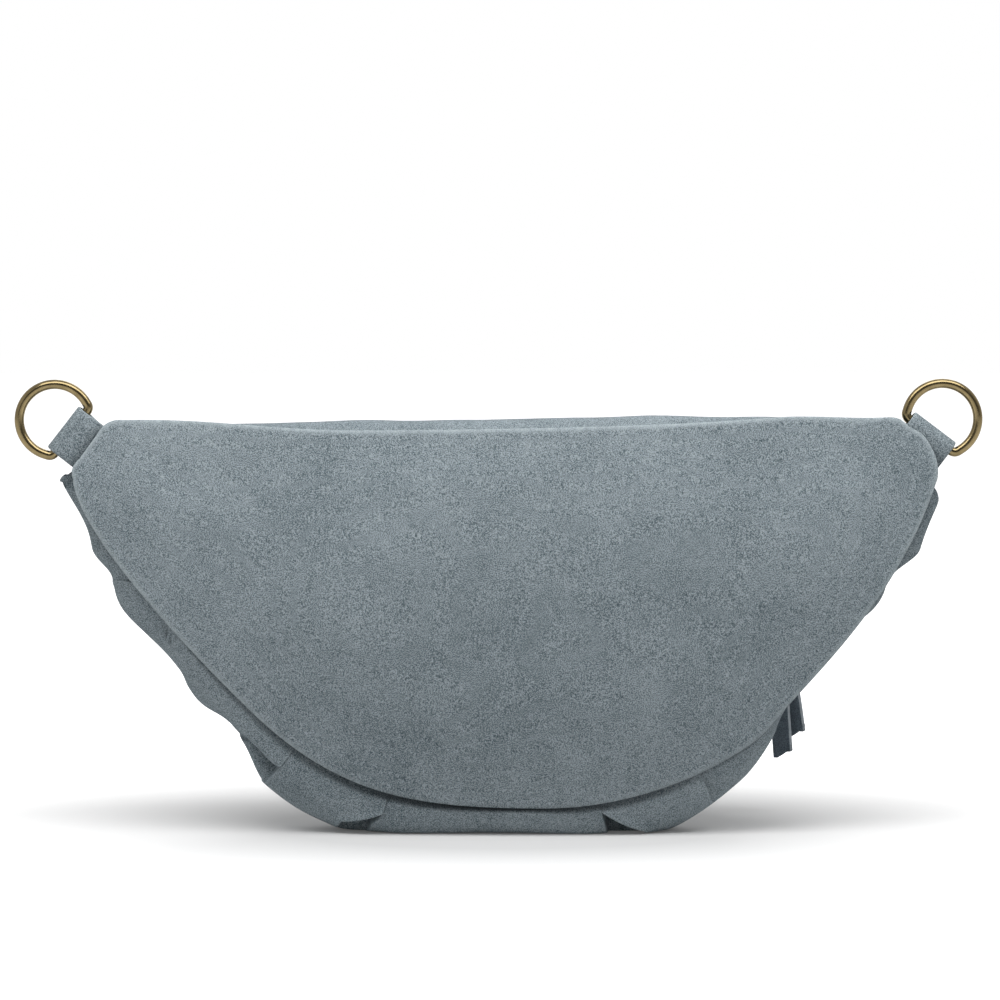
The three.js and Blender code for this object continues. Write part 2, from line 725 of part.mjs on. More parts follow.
// Slider: two plates with a notched nose, side flanges, a wedge post and a bridge for the pull.
const nose = sliderLength / 2;
const plate = new THREE.Shape();
plate.moveTo(-nose + 3, -sliderHalf);
plate.lineTo(nose - 4, -sliderHalf);
plate.quadraticCurveTo(nose + 0.4, -sliderHalf, nose, -2.4);
plate.quadraticCurveTo(nose - 2, 0, nose, 2.4);
plate.quadraticCurveTo(nose + 0.4, sliderHalf, nose - 4, sliderHalf);
plate.lineTo(-nose + 3, sliderHalf);
plate.quadraticCurveTo(-nose, sliderHalf, -nose, sliderHalf - 3);
plate.lineTo(-nose, 3 - sliderHalf);
plate.quadraticCurveTo(-nose, -sliderHalf, -nose + 3, -sliderHalf);

const post = new THREE.Shape();
post.moveTo(0.5, 0);
post.quadraticCurveTo(2, -1.3, nose - 2.2, -1.3);
post.lineTo(nose - 2.2, 1.3);
post.quadraticCurveTo(2, 1.3, 0.5, 0);

const bridge = new THREE.Shape();
const bridgeTop = barNormal + bridgeBar / 2;
bridge.moveTo(-bridgeLength / 2, plateLow + 0.3);
bridge.lineTo(bridgeLength / 2, plateLow + 0.3);
bridge.lineTo(bridgeLength / 2, bridgeTop - 2);
bridge.quadraticCurveTo(bridgeLength / 2, bridgeTop, bridgeLength / 2 - 2, bridgeTop);
bridge.lineTo(2 - bridgeLength / 2, bridgeTop);
bridge.quadraticCurveTo(-bridgeLength / 2, bridgeTop, -bridgeLength / 2, bridgeTop - 2);
const eyeHalf = thongWidth / 2 + 0.7;
const eye = new THREE.Path();
eye.moveTo(-eyeHalf, plateTop);
eye.lineTo(-eyeHalf, plateTop + bridgeHole);
eye.lineTo(eyeHalf, plateTop + bridgeHole);
eye.lineTo(eyeHalf, plateTop);
bridge.holes.push(eye);

function sliderSolid() {
  const outerPlate = extruded(plate, plateThick, 5).translate(0, 0, plateLow);
  const innerPlate = extruded(plate, plateThick, 5).translate(0, 0, -plateTop);
  const wedge = extruded(post, 2 * plateLow + 0.4, 4).translate(0, 0, -plateLow - 0.2);
  const arch = extruded(bridge, bridgeBar, 4).rotateX(Math.PI / 2).translate(0, bridgeBar / 2, 0);
  let solid = solidOf(outerPlate).add(solidOf(innerPlate)).add(solidOf(wedge)).add(solidOf(arch));
  const slot = tapeHalf + fitGap;
  const flangeHeight = plateLow + 0.2 - slot;
  for (const up of [-1, 1]) {
    for (const out of [-1, 1]) {
      const flange = new THREE.BoxGeometry(sliderLength / 2, flangeThick, flangeHeight);
      flange.translate(-0.4, up * (channelHalf + flangeThick / 2), out * (slot + flangeHeight / 2));
      solid = solid.add(solidOf(flange));
    }
  }
  return solid;
}
add('zip_slider', geometryOf(sliderSolid()).applyMatrix4(zipFrame(sliderAngle)), brassFinish());

// Thong: a strip folded over the bridge, its two tails hanging down and fanned a little apart.
function thong() {
  const bar = zipPoint(sliderAngle, 0, barNormal);
  const outward = vec(Math.sin(sliderAngle), Math.cos(sliderAngle), 0);
  const along = vec(Math.cos(sliderAngle), -Math.sin(sliderAngle), 0);
  const tilt = THREE.MathUtils.degToRad(thongLean);
  const down = outward.clone().multiplyScalar(Math.sin(tilt)).add(vec(0, 0, -Math.cos(tilt)));
  const face = outward.clone().multiplyScalar(Math.cos(tilt)).add(vec(0, 0, Math.sin(tilt)));
  const loopRadius = bridgeBar * Math.SQRT1_2 + fitGap + thongThick / 2;
  const apart = thongThick / 2 + fitGap;
  const offset = (distance) => THREE.MathUtils.lerp(loopRadius, apart, smooth(distance, 0, 18));
  const place = (side, distance) => bar.clone()
    .addScaledVector(down, distance)
    .addScaledVector(face, side * offset(distance))
    .addScaledVector(along, (side * thongFan + thongSway) * smooth(distance, 0, thongInner));
  const section = (centre, across, slant) => [[-1, -1], [1, -1], [1, 1], [-1, 1]].map(([w, t]) => (
    centre.clone()
      .addScaledVector(along, w * thongWidth / 2)
      .addScaledVector(across, t * thongThick / 2)
      .addScaledVector(down, -w * slant)
  ));
  const tail = (side, length) => [1, 0.8, 0.55, 0.35, 0.25, 0.15, 0.07].map((share, i) => (
    section(place(side, share * length), face.clone().multiplyScalar(side), i ? 0 : thongSlant / 2)
  ));
  const turns = 8;
  const loop = Array.from({ length: turns + 1 }, (_, i) => {
    const angle = Math.PI * i / turns;
    const across = face.clone().multiplyScalar(-Math.cos(angle)).addScaledVector(down, -Math.sin(angle));
    return section(bar.clone().addScaledVector(across, loopRadius), across, 0);
  });
  return loft([...tail(-1, thongInner), ...loop, ...tail(1, thongOuter).reverse()]);
}
add('zip_pull_thong', thong(), thongFinish());

// D-ring: straight bar, two tight corners, splayed sides and a round bow.
class RingCurve extends THREE.Curve {
  constructor() {
    super();
    const splay = THREE.MathUtils.degToRad(ringSplay);
    const sideLow = ringCorner * (1 - Math.sin(splay));
    const sideHigh = ringRise - ringRadius * Math.sin(splay);
    const lead = (sideHigh - sideLow) * Math.tan(splay);
    const half = (ringRadius - ringCorner) * Math.cos(splay) - lead;
    const path = new THREE.Path();
    path.moveTo(-half, 0);
    path.lineTo(half, 0);
    path.absarc(half, ringCorner, ringCorner, -Math.PI / 2, -splay, false);
    path.absarc(0, ringRise, ringRadius, -splay, Math.PI + splay, false);
    path.absarc(-half, ringCorner, ringCorner, Math.PI + splay, 1.5 * Math.PI, false);
    path.closePath();
    this.path = path;
  }

  getPoint(t, target = new THREE.Vector3()) {
    const point = this.path.getPointAt(t);
    return target.set(point.x, point.y, 0);
  }
}

function ring({ bar, out, across }) {
  const geometry = new THREE.TubeGeometry(new RingCurve(), 44, wire / 2, 8, true);
  const depth = across.clone().cross(out);
  geometry.applyMatrix4(new THREE.Matrix4().makeBasis(across, out, depth).setPosition(bar));
  return geometry;
}

// Tab: a strip folded round the ring's bar, both tails sewn in behind the back panel.
function tab({ bar, out, across, reach }) {
  const radius = wire / 2 + barClear + suede / 2;
  const tailLow = fitGap + suede / 2;
  const tailHigh = tailLow + suede + fitGap;
  const length = reach + tabTuck;
  const rise = 7;
  const loop = (distance, depth, lead, lift) => [[-1, -1], [1, -1], [1, 1], [-1, 1]].map(([w, t]) => (
    bar.clone().setY(depth + t * lift * suede / 2)
      .addScaledVector(out, distance + t * lead * suede / 2)
      .addScaledVector(across, w * tabWidth / 2)
  ));
  const loops = [loop(-length, tailLow, 0, -1), loop(-length / 2, tailLow, 0, -1)];
  const turns = 8;
  for (let i = 0; i <= turns; i += 1) {
    const angle = Math.PI * i / turns;
    const lift = -Math.cos(angle);
    const lead = Math.sin(angle);
    loops.push(loop(radius * lead, bar.y + radius * lift, lead, lift));
  }
  const steps = 5;
  for (let i = 1; i <= steps; i += 1) {
    const share = i / steps;
    const depth = THREE.MathUtils.lerp(bar.y + radius, tailHigh, smooth(share, 0, 1));
    loops.push(loop(-rise * share, depth, 0, 1));
  }
  loops.push(loop(-length, tailHigh, 0, 1));
  return loft(loops);
}
add('tab_left', tab(tabs.left), suedeFinish());
add('tab_right', tab(tabs.right), suedeFinish());
add('d_ring_left', ring(tabs.left), brassFinish());
add('d_ring_right', ring(tabs.right), brassFinish());

export default bag;
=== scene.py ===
"""A soft suede half-moon waist bag: the looks of every piece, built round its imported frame."""
from collections import namedtuple
from math import asin, cos, hypot, pi, radians, sin, sqrt, tan

import bmesh
import bpy
import numpy as np
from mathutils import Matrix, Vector, noise

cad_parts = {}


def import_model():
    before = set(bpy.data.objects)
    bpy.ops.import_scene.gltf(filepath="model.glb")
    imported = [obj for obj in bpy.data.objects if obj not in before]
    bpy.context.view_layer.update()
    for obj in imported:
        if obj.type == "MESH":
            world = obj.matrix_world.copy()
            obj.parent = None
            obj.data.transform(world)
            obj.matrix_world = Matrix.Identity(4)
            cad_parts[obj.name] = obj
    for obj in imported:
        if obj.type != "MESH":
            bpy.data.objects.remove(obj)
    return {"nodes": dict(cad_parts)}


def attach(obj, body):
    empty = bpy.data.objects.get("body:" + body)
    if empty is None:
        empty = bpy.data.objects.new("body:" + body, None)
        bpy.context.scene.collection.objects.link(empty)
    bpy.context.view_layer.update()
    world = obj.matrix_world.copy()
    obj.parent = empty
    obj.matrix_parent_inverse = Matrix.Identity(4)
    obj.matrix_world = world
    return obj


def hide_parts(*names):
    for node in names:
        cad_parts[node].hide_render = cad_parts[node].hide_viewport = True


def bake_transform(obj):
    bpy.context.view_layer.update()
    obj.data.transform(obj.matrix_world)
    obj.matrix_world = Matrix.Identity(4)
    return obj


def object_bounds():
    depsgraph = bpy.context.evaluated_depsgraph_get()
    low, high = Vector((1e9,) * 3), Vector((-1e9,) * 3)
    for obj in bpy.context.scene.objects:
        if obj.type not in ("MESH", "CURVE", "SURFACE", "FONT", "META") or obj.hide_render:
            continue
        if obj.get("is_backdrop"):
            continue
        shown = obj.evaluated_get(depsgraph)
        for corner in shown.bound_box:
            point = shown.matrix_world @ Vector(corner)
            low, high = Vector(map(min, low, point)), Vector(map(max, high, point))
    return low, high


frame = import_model()
CAD_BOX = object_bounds()

# Sizes of the bag in millimetres, most of them as its solids have them; MM turns them into metres.
# Shares of a length and places along the front, from -1 on the left to 1 on the right, have no unit.
MM = 0.001
ORIGIN_DEPTH = 24
SUEDE = 1.4
LINING = 0.6
STIFFENER = 1
TAPE = 0.7
FIT_GAP = 0.3
LAYER_GAP = 0.5
LINING_SLACK = 1

# Back panel.
TOP_HEIGHT = 157.4
TOP_SAG = 4
TOP_HALF_WIDTH = 142
TOP_ROUND = 8.5
CORNER_DROP = 21.9
CORNER_RISE = 4.5
CORNER_EASE = 0.5
SEAM_HEIGHT = 11
BOTTOM_X = 10.7
BOTTOM_HANDLES = (-36.6, 54.1)
CHAMFER_RUN = 10.5
CHAMFER_RISE = 14.3
SLUMP = 5
SLUMP_POWER = 1.6

# Zip, slider and thong.
ZIP_HEIGHT = 96
ZIP_DEPTH = 56
ZIP_RADIUS = 250
TAPE_LEAN = radians(10)
TAPE_OUTER = 11
END_TAPE_OUTER = 8.6
TOOTH_PITCH = 3.9
CORD_OUTER = 5.3
SLIDER_X = 100
SLIDER_LENGTH = 15
PLATE_TOP = 2.45
SLOT_HALF_WIDTH = 2
STOP_LENGTH = 2.2
END_TAPE_TAIL = 6
END_TAPE_ROOM = 1
WINDOW_ROOM = 2
WINDOW_CLOSE = 5
WINDOW_HALF = 7.2
BRIDGE_BAR = 1.8
BRIDGE_HOLE = 2.8
THONG_WIDTH = 8.2
THONG_THICK = 1.9
THONG_LEAN = radians(12)
THONG_INNER = 75
THONG_OUTER = 68
THONG_FAN = 2.1
THONG_SWAY = 2
THONG_SLANT = 6
THONG_TWIST = radians(13)
THONG_ROUND = 1.6
THONG_LIFT = 2.2
THONG_LOOP_RUN = 18
THONG_SWAY_FROM = 10
THONG_BEND_FROM = 20

# Front lower panel and yoke.
SEAM_HALF_GAP = 0.03
SIDE_DROP = 9
SEAM_INSET = 1
YOKE_CREST = 13
YOKE_SIDE_DROP = 3
YOKE_TOP_DROP = 1
YOKE_TOP_INSET = 4
YOKE_CORNER_CUT = 5.5
SIDE_BULGE_DEPTH = 9
SIDE_BULGE = {-1: 26, 1: 7.5}
YOKE_PUFF = {-1: 6.5, 1: 10.5}
EAR_REACH = 5.8
EAR_PLACE = -0.951
EAR_WIDTH = 0.025
EAR_RISE = (0.35, 0.9)
PUFF_SPAN = (0.84, 0.96, 0.96, 1)
SWELL_FULL = 0.25
SWELL_FADE = {-1: 0.8, 1: 0.62}
SEWN_FROM = 0.955
BEND_END_SHARE = 0.2
LOWER_SIDE_SHARES = (0.07, 0.14)
YOKE_SIDE_SHARES = (0.45, 0.75)
YOKE_MIDDLE = 0.72
YOKE_LIP_HANDLE = 42
YOKE_LIP_EASE = 0.35
YOKE_TOP_HANDLE = 14
YOKE_TOP_EASE = 0.3
FLARE_LEFT = 46
FLARE_MIDDLE = 34
FLARE_RIGHT = 42
FLARE_FORWARD = 11
LOWER_FULLNESS = 96
ARC_SHARE = 0.82

# D-rings on folded tabs.
WIRE = 3.6
RING_RADIUS = 13.4
RING_RISE = 7.4
RING_CORNER = 2.4
RING_SPLAY = radians(20)
BAR_CLEAR = 0.4
TAB_WIDTH = 19.2
TAB_TUCK = 10
TAB_REACH = {-1: 8.6, 1: 5.4}
TAB_ANGLE = {-1: radians(38), 1: radians(53)}
TAB_RISE = 7
TAB_EASE = (4, 9)

# Sizes that follow from these.
CORNER_HALF_WIDTH = TOP_HALF_WIDTH + TOP_ROUND + CHAMFER_RUN + CORNER_EASE
CORNER_HEIGHT = TOP_HEIGHT - CORNER_DROP
ZIP_AXIS_Y = ZIP_DEPTH - ZIP_RADIUS
PANEL_FACE = TAPE / 2 + LAYER_GAP + SUEDE
SLIDER_ANGLE = asin(SLIDER_X / ZIP_RADIUS)
CHAIN_ANGLE = SLIDER_ANGLE - (SLIDER_LENGTH / 2 + 2 * FIT_GAP) / ZIP_RADIUS
WINDOW_ANGLE = SLIDER_ANGLE + (SLIDER_LENGTH / 2 + STOP_LENGTH + WINDOW_ROOM) / ZIP_RADIUS
TAPE_END_ANGLE = SLIDER_ANGLE + (SLIDER_LENGTH / 2 + END_TAPE_TAIL) / ZIP_RADIUS
ARC_ANGLE = TAPE_END_ANGLE + END_TAPE_ROOM / ZIP_RADIUS
BAR_NORMAL = PLATE_TOP + BRIDGE_HOLE + BRIDGE_BAR / 2
TAB_ROOM = 2 * SUEDE + 5 * FIT_GAP


def smooth(value, low, high):
    """0 below low, 1 above high, and an even rise between them."""
    t = np.clip((value - low) / (high - low), 0, 1)
    return t * t * (3 - 2 * t)


def between(value, low, full, fading, high):
    """0 below low and above high, and 1 from full to fading."""
    return smooth(value, low, full) * (1 - smooth(value, fading, high))


def hill(value, width):
    """1 at zero, falling off over about the width on both sides."""
    return np.exp(-((value / width) ** 2))


def by_side(u, sizes):
    return np.where(u < 0, sizes[-1], sizes[1])


def lerp(a, b, t):
    return a + (b - a) * t


def vec(*values):
    return np.array(values)


def stack(*parts):
    return np.stack(np.broadcast_arrays(*[np.asarray(p, float) for p in parts]), axis=-1)


def unit(vectors):
    return vectors / np.maximum(np.linalg.norm(vectors, axis=-1, keepdims=True), 1e-9)


def bezier(points, t):
    """Point at t of a Bezier curve of any order; points and t may be arrays."""
    t = t[..., None]
    points = [np.asarray(p, float) for p in points]
    while len(points) > 1:
        points = [a + (b - a) * t for a, b in zip(points, points[1:])]
    return points[0]


def profile(shares, size=1.0):
    """A smooth value along the front, given at even stations from -1 on the left to 1 on the right."""
    values = np.array(shares, float) * size

    def at(u):
        last = len(values) - 1
        place = np.clip((u + 1) / 2, 0, 1) * last
        k = np.minimum(place.astype(int), last - 1)
        t = place - k
        p0, p1 = values[np.maximum(k - 1, 0)], values[k]
        p2, p3 = values[k + 1], values[np.minimum(k + 2, last)]
        bend = (2 * p0 - 5 * p1 + 4 * p2 - p3) * t + (3 * p1 - p0 - 3 * p2 + p3) * t * t
        return p1 + 0.5 * t * (p2 - p0 + bend)

    return at


def line_steps(line):
    """Length from the start of a line of points to each of them."""
    return np.concatenate(([0], np.cumsum(np.linalg.norm(np.diff(line, axis=0), axis=1))))


def on_line(line, steps, reach):
    """Points of a line at lengths from its start."""
    return stack(*[np.interp(reach, steps, column) for column in line.T])


class Path:
    """A plane curve of Bezier pieces, read by its share of length."""

    def __init__(self, pieces):
        t = np.linspace(0, 1, 160)
        self.points = np.vstack([bezier(piece, t) for piece in pieces])
        self.steps = line_steps(self.points)

    def at(self, share):
        return on_line(self.points, self.steps, share * self.steps[-1])

    def along(self, share):
        step = 2e-3
        return unit(self.at(np.minimum(share + step, 1)) - self.at(np.maximum(share - step, 0)))


# Outline of the back panel, in X and Z.
CHAMFER_LOW = vec(CORNER_HALF_WIDTH - CORNER_EASE, CORNER_HEIGHT + CORNER_RISE)
CHAMFER_HIGH = CHAMFER_LOW + [-CHAMFER_RUN, CHAMFER_RISE]
CHAMFER_OUT = vec(CHAMFER_RISE, CHAMFER_RUN) / hypot(CHAMFER_RISE, CHAMFER_RUN)
MIRROR = vec(-1, 1)
CORNER = vec(CORNER_HALF_WIDTH, CORNER_HEIGHT)
BOTTOM = vec(BOTTOM_X, SEAM_HEIGHT)
LOWER_PIECES = [
    [CORNER * MIRROR, (-160.3, 111.5), (-100.9, 50.7), (-94.9, 44.8)],
    [(-94.9, 44.8), (-64.4, 15.2), (BOTTOM_HANDLES[0], SEAM_HEIGHT), BOTTOM],
    [BOTTOM, (BOTTOM_HANDLES[1], SEAM_HEIGHT), (90.1, 34), (95.8, 41)],
    [(95.8, 41), (109.7, 58.1), (146.7, 88.1), CORNER],
]
TURN = [CORNER, CHAMFER_LOW + [CORNER_EASE + 1.4, -0.4], CHAMFER_LOW + [-2.2, 3]]
SHOULDER = [
    CHAMFER_HIGH + [1.8, -2.4],
    np.array([CHAMFER_HIGH[0] - 1.5, TOP_HEIGHT + 0.8]),
    vec(TOP_HALF_WIDTH, TOP_HEIGHT),
]
ROUND_TURN = [CORNER, CORNER + [0.7, 5], CORNER + [-1.2, 9.3]]
ROUND_SHOULDER = [CORNER + [-1.2, 9.3], CORNER + [-4, 15.6], CORNER + [-9, 20.2]]
ROUND_TOP = [CORNER + [-9, 20.2], CORNER + [-12, 23.2], vec(TOP_HALF_WIDTH, TOP_HEIGHT + 1)]
LEFT_DIP = vec(-50, TOP_HEIGHT - TOP_SAG)
RIGHT_RISE = vec(100, TOP_HEIGHT + 0.9)
UPPER_PIECES = [
    [point * MIRROR for point in TURN],
    [point * MIRROR for point in SHOULDER],
    [SHOULDER[2] * MIRROR, LEFT_DIP + [-55, TOP_SAG + 0.6], LEFT_DIP + [-38, -0.3], LEFT_DIP],
    [LEFT_DIP, LEFT_DIP + [50, 0.4], RIGHT_RISE + [-40, -3.6], RIGHT_RISE],
    [RIGHT_RISE, RIGHT_RISE + [14, 1.2], ROUND_TOP[2] + [-12, -0.8], ROUND_TOP[2]],
    ROUND_TOP[::-1],
    ROUND_SHOULDER[::-1],
    ROUND_TURN[::-1],
]
lower_edge = Path(LOWER_PIECES)
upper_edge = Path(UPPER_PIECES)


def slumped(points):
    shift = SLUMP * np.maximum(0, 1 - points[..., 1] / CORNER_HEIGHT) ** SLUMP_POWER
    return stack(points[..., 0] + shift, points[..., 1])


def tab_frame(side):
    """The tab's bar, its outward direction and its direction across."""
    angle = TAB_ANGLE[side]
    middle = (CHAMFER_LOW + CHAMFER_HIGH) / 2
    out = vec(side * cos(angle), 0, sin(angle))
    depth = FIT_GAP + SUEDE + BAR_CLEAR + WIRE / 2
    bar = np.array([side * middle[0], depth, middle[1]]) + out * TAB_REACH[side]
    return bar, out, np.cross([0, 1, 0], out)


def rim_depth(x, z):
    """Least depth of the yoke: it lies on the back panel, and over the tails of the tabs."""
    over = np.zeros(np.broadcast(x, z).shape)
    near, far = TAB_EASE
    for side in (-1, 1):
        bar, out, across = tab_frame(side)
        place = stack(x - bar[0], 0, z - bar[2])
        aside = np.abs(place @ across) - TAB_WIDTH / 2
        inside = place @ out + TAB_REACH[side] + TAB_TUCK
        over = np.maximum(over, (1 - smooth(aside, near, far)) * smooth(inside, -far, -near))
    return lerp(FIT_GAP, TAB_ROOM, over)


def zip_point(angle, up, out):
    """A point by the zip: angle round its axis, height up the tape, distance out of the tape."""
    radius = ZIP_RADIUS - up * sin(TAPE_LEAN) + out * cos(TAPE_LEAN)
    height = ZIP_HEIGHT + up * cos(TAPE_LEAN) + out * sin(TAPE_LEAN)
    return stack(radius * np.sin(angle), ZIP_AXIS_Y + radius * np.cos(angle), height)


def seam_at(share):
    along = lower_edge.along(share)
    normal = stack(along[..., 1], 0, -along[..., 0])
    place = slumped(lower_edge.at(share))
    return stack(place[..., 0], FIT_GAP, place[..., 1]) - normal * SEAM_INSET, normal


def end_share(side):
    """Share of the lower edge between its end on one side and the lower panel's end."""
    shares = np.linspace(0, 0.5, 4000)
    heights = lower_edge.at(shares if side < 0 else 1 - shares)[:, 1]
    return float(np.interp(SIDE_DROP - ZIP_HEIGHT, -heights, shares))


END_SHARE = {side: end_share(side) for side in (-1, 1)}


def seam(u):
    """The seam under the back panel, from -1 at the left side through the base to 1."""
    return seam_at(lerp(END_SHARE[-1], 1 - END_SHARE[1], (u + 1) / 2))


def side_seam(side, rise):
    """The side seam, from the lower panel's end at 0 up to the panel's corner at 1."""
    return seam_at(np.where(side < 0, END_SHARE[-1] * (1 - rise), 1 - END_SHARE[1] * (1 - rise)))[0]


def front_bend(side, u, up, out):
    """The front beyond the zip: a bulge and a bend back to the side seam."""
    start = vec(sin(ARC_ANGLE), cos(ARC_ANGLE)) * ZIP_RADIUS + [0, ZIP_AXIS_Y]
    end = np.array([abs(float(side_seam(side, BEND_END_SHARE)[0])), FIT_GAP])
    turn = vec(cos(ARC_ANGLE), -sin(ARC_ANGLE))
    middle = start + turn * (end[0] - start[0]) / 2
    bulge = np.array([end[0] + SIDE_BULGE[side], SIDE_BULGE_DEPTH])
    t = np.clip((np.abs(u) - ARC_SHARE) / (1 - ARC_SHARE), 0, 1)
    place = bezier([start, middle, bulge, end], t)
    along = unit(bezier([middle - start, bulge - middle, end - bulge], t))
    reach = (out * cos(TAPE_LEAN) - up * sin(TAPE_LEAN)) * (1 - t)
    height = ZIP_HEIGHT + up * cos(TAPE_LEAN) + out * sin(TAPE_LEAN)
    x = side * (place[..., 0] - along[..., 1] * reach)
    return stack(x, place[..., 1] + along[..., 0] * reach, height)


def front_point(u, up, out):
    on_arc = zip_point(u / ARC_SHARE * ARC_ANGLE, up, out)
    bends = np.where((u < 0)[..., None], front_bend(-1, u, up, out), front_bend(1, u, up, out))
    return np.where((np.abs(u) <= ARC_SHARE)[..., None], on_arc, bends)


WINDOW_U = ARC_SHARE * WINDOW_ANGLE / ARC_ANGLE
CLOSE_U = ARC_SHARE * (WINDOW_ANGLE + WINDOW_CLOSE / ZIP_RADIUS) / ARC_ANGLE


def lip_edge(u):
    return lerp(WINDOW_HALF, SEAM_HALF_GAP, smooth(np.abs(u), WINDOW_U, CLOSE_U))


FLARES = [FLARE_LEFT] * 4 + [FLARE_MIDDLE] + [FLARE_RIGHT] * 4
flare = profile((0.22, 0.77, 1.12, 1.05, 1, 1.2, 0.8, 0.02, 0), FLARES)
flare_depth = profile((0.3, 1, 1, 0.8, 0.7, 0.8, 1, 1, 0.3), FLARE_FORWARD)
lower_handle = profile((0.1, 0.31, 0.6, 0.88, 1, 0.88, 0.6, 0.31, 0.1), LOWER_FULLNESS)


def lower_point(u, s):
    """The lower panel: s runs from the back seam round the base to the zip."""
    point, normal = seam(u)
    lip = front_point(u, -lip_edge(u), PANEL_FACE)
    below = front_point(u, -lip_edge(u) - lower_handle(u), PANEL_FACE)
    flared = point + normal * flare(u)[..., None] + stack(0, flare_depth(u), 0)
    side = np.where(u < 0, -1, 1)
    sewn = smooth(np.abs(u), SEWN_FROM, 1)[..., None]
    flared = lerp(flared, side_seam(side, LOWER_SIDE_SHARES[0]), sewn)
    below = lerp(below, side_seam(side, LOWER_SIDE_SHARES[1]), sewn)
    return bezier([point, flared, below, lip], s)


# Upper edge of the yoke, from the left side over the top to the right side.
CUT_LOW = CHAMFER_LOW - CHAMFER_OUT * YOKE_CORNER_CUT
CUT_HIGH = CHAMFER_HIGH - CHAMFER_OUT * YOKE_CORNER_CUT
YOKE_SIDE = vec(CORNER_HALF_WIDTH - SEAM_INSET, CORNER_HEIGHT - YOKE_SIDE_DROP)
YOKE_TOP_END = vec(TOP_HALF_WIDTH - YOKE_TOP_INSET, TOP_HEIGHT - YOKE_TOP_DROP)
YOKE_CORNERS = [YOKE_SIDE, CUT_LOW, CUT_HIGH, YOKE_TOP_END]
DROP = vec(0, YOKE_TOP_DROP)
YOKE_TOP = [
    [YOKE_TOP_END * MIRROR, *[point - DROP for point in UPPER_PIECES[2][1:]]],
    [point - DROP for point in UPPER_PIECES[3]],
    [*[point - DROP for point in UPPER_PIECES[4][:3]], YOKE_TOP_END],
]
yoke_edge = Path(
    [[a * MIRROR, b * MIRROR] for a, b in zip(YOKE_CORNERS, YOKE_CORNERS[1:])]
    + YOKE_TOP
    + [[b, a] for a, b in reversed(list(zip(YOKE_CORNERS, YOKE_CORNERS[1:])))]
)
yoke_crest = profile((-0.4, -0.4, 0.35, 1.1, 1, 0.85, 1.05, 0.4, -0.4, -0.4), YOKE_CREST)


def yoke_middle(u):
    return 1 - smooth(np.abs(u), YOKE_MIDDLE, 1)


def yoke_handle(u):
    return YOKE_LIP_HANDLE * lerp(YOKE_LIP_EASE, 1, yoke_middle(u))


def yoke_point(u, s):
    """The yoke: s runs from the zip up to the top seam."""
    side = np.where(u < 0, -1, 1)
    edge = yoke_edge.at((u + 1) / 2)
    sewn = smooth(np.abs(u), SEWN_FROM, 1)
    swell = between(s, 0, SWELL_FULL, by_side(u, SWELL_FADE), 1)
    puff = by_side(u, YOKE_PUFF) * between(np.abs(u), *PUFF_SPAN) * swell
    ear = EAR_REACH * hill(u - EAR_PLACE, EAR_WIDTH) * smooth(s, *EAR_RISE)
    top = stack(edge[..., 0], rim_depth(edge[..., 0], edge[..., 1]), edge[..., 1])
    lip = front_point(u, lip_edge(u), PANEL_FACE)
    above = front_point(u, lip_edge(u) + yoke_handle(u), PANEL_FACE)
    above = lerp(above, side_seam(side, YOKE_SIDE_SHARES[0]), sewn[..., None])
    forward = YOKE_TOP_HANDLE * lerp(YOKE_TOP_EASE, 1, yoke_middle(u)) * (1 - sewn)
    before = top + stack(0, forward, yoke_crest(u))
    before = lerp(before, side_seam(side, YOKE_SIDE_SHARES[1]), sewn[..., None])
    place = bezier([lip, above, before, top], s)
    place[..., 0] += side * puff - ear
    return place


# Meshes. Points are in millimetres in the layout above; the frame's origin lies further forward.
def placed(name, data):
    made = bpy.data.objects.new(name, data)
    bpy.context.scene.collection.objects.link(made)
    return made


def piece(name, points, faces, material, **values):
    """A smooth-shaded object; values give one number a point for the material to read."""
    mesh = bpy.data.meshes.new(name)
    places = (points.reshape(-1, 3) - [0, ORIGIN_DEPTH, 0]) * MM
    mesh.from_pydata(places.tolist(), [], faces)
    shape = bmesh.new()
    shape.from_mesh(mesh)
    bmesh.ops.recalc_face_normals(shape, faces=shape.faces)
    shape.to_mesh(mesh)
    shape.free()
    mesh.polygons.foreach_set("use_smooth", np.ones(len(mesh.polygons), bool))
    mesh.attributes.new("rest", "FLOAT_VECTOR", "POINT").data.foreach_set("vector", places.ravel())
    for key, value in values.items():
        mesh.attributes.new(key, "FLOAT", "POINT").data.foreach_set("value", np.ravel(value))
    mesh.materials.append(material)
    return placed(name, mesh)


def cells(index):
    """The four corners of each cell of a grid of point numbers."""
    return np.stack([index[:-1, :-1], index[1:, :-1], index[1:, 1:], index[:-1, 1:]], -1)


def sheet_faces(columns, rows):
    """Faces of a closed sheet between two grids of points."""
    size = columns * rows
    index = np.arange(size).reshape(columns, rows)
    outer = cells(index).reshape(-1, 4)
    rim = np.concatenate([index[:, 0], index[-1, 1:], index[-2::-1, -1], index[0, -2:0:-1]])
    after = np.roll(rim, -1)
    sides = np.stack([rim, rim + size, after + size, after], -1)
    return np.concatenate([outer, outer[:, ::-1] + size, sides]).tolist()


def loft_faces(loops, size, closed, first):
    """Faces that join loops of points one after the other, and close the ends or the ring."""
    index = first + np.arange(loops * size).reshape(loops, size)
    ring = np.vstack([index, index[:1]]) if closed else index
    a, b = ring[:-1], ring[1:]
    faces = np.stack([a, np.roll(a, -1, 1), np.roll(b, -1, 1), b], -1).reshape(-1, 4).tolist()
    return faces if closed else faces + [index[0].tolist(), index[-1].tolist()]


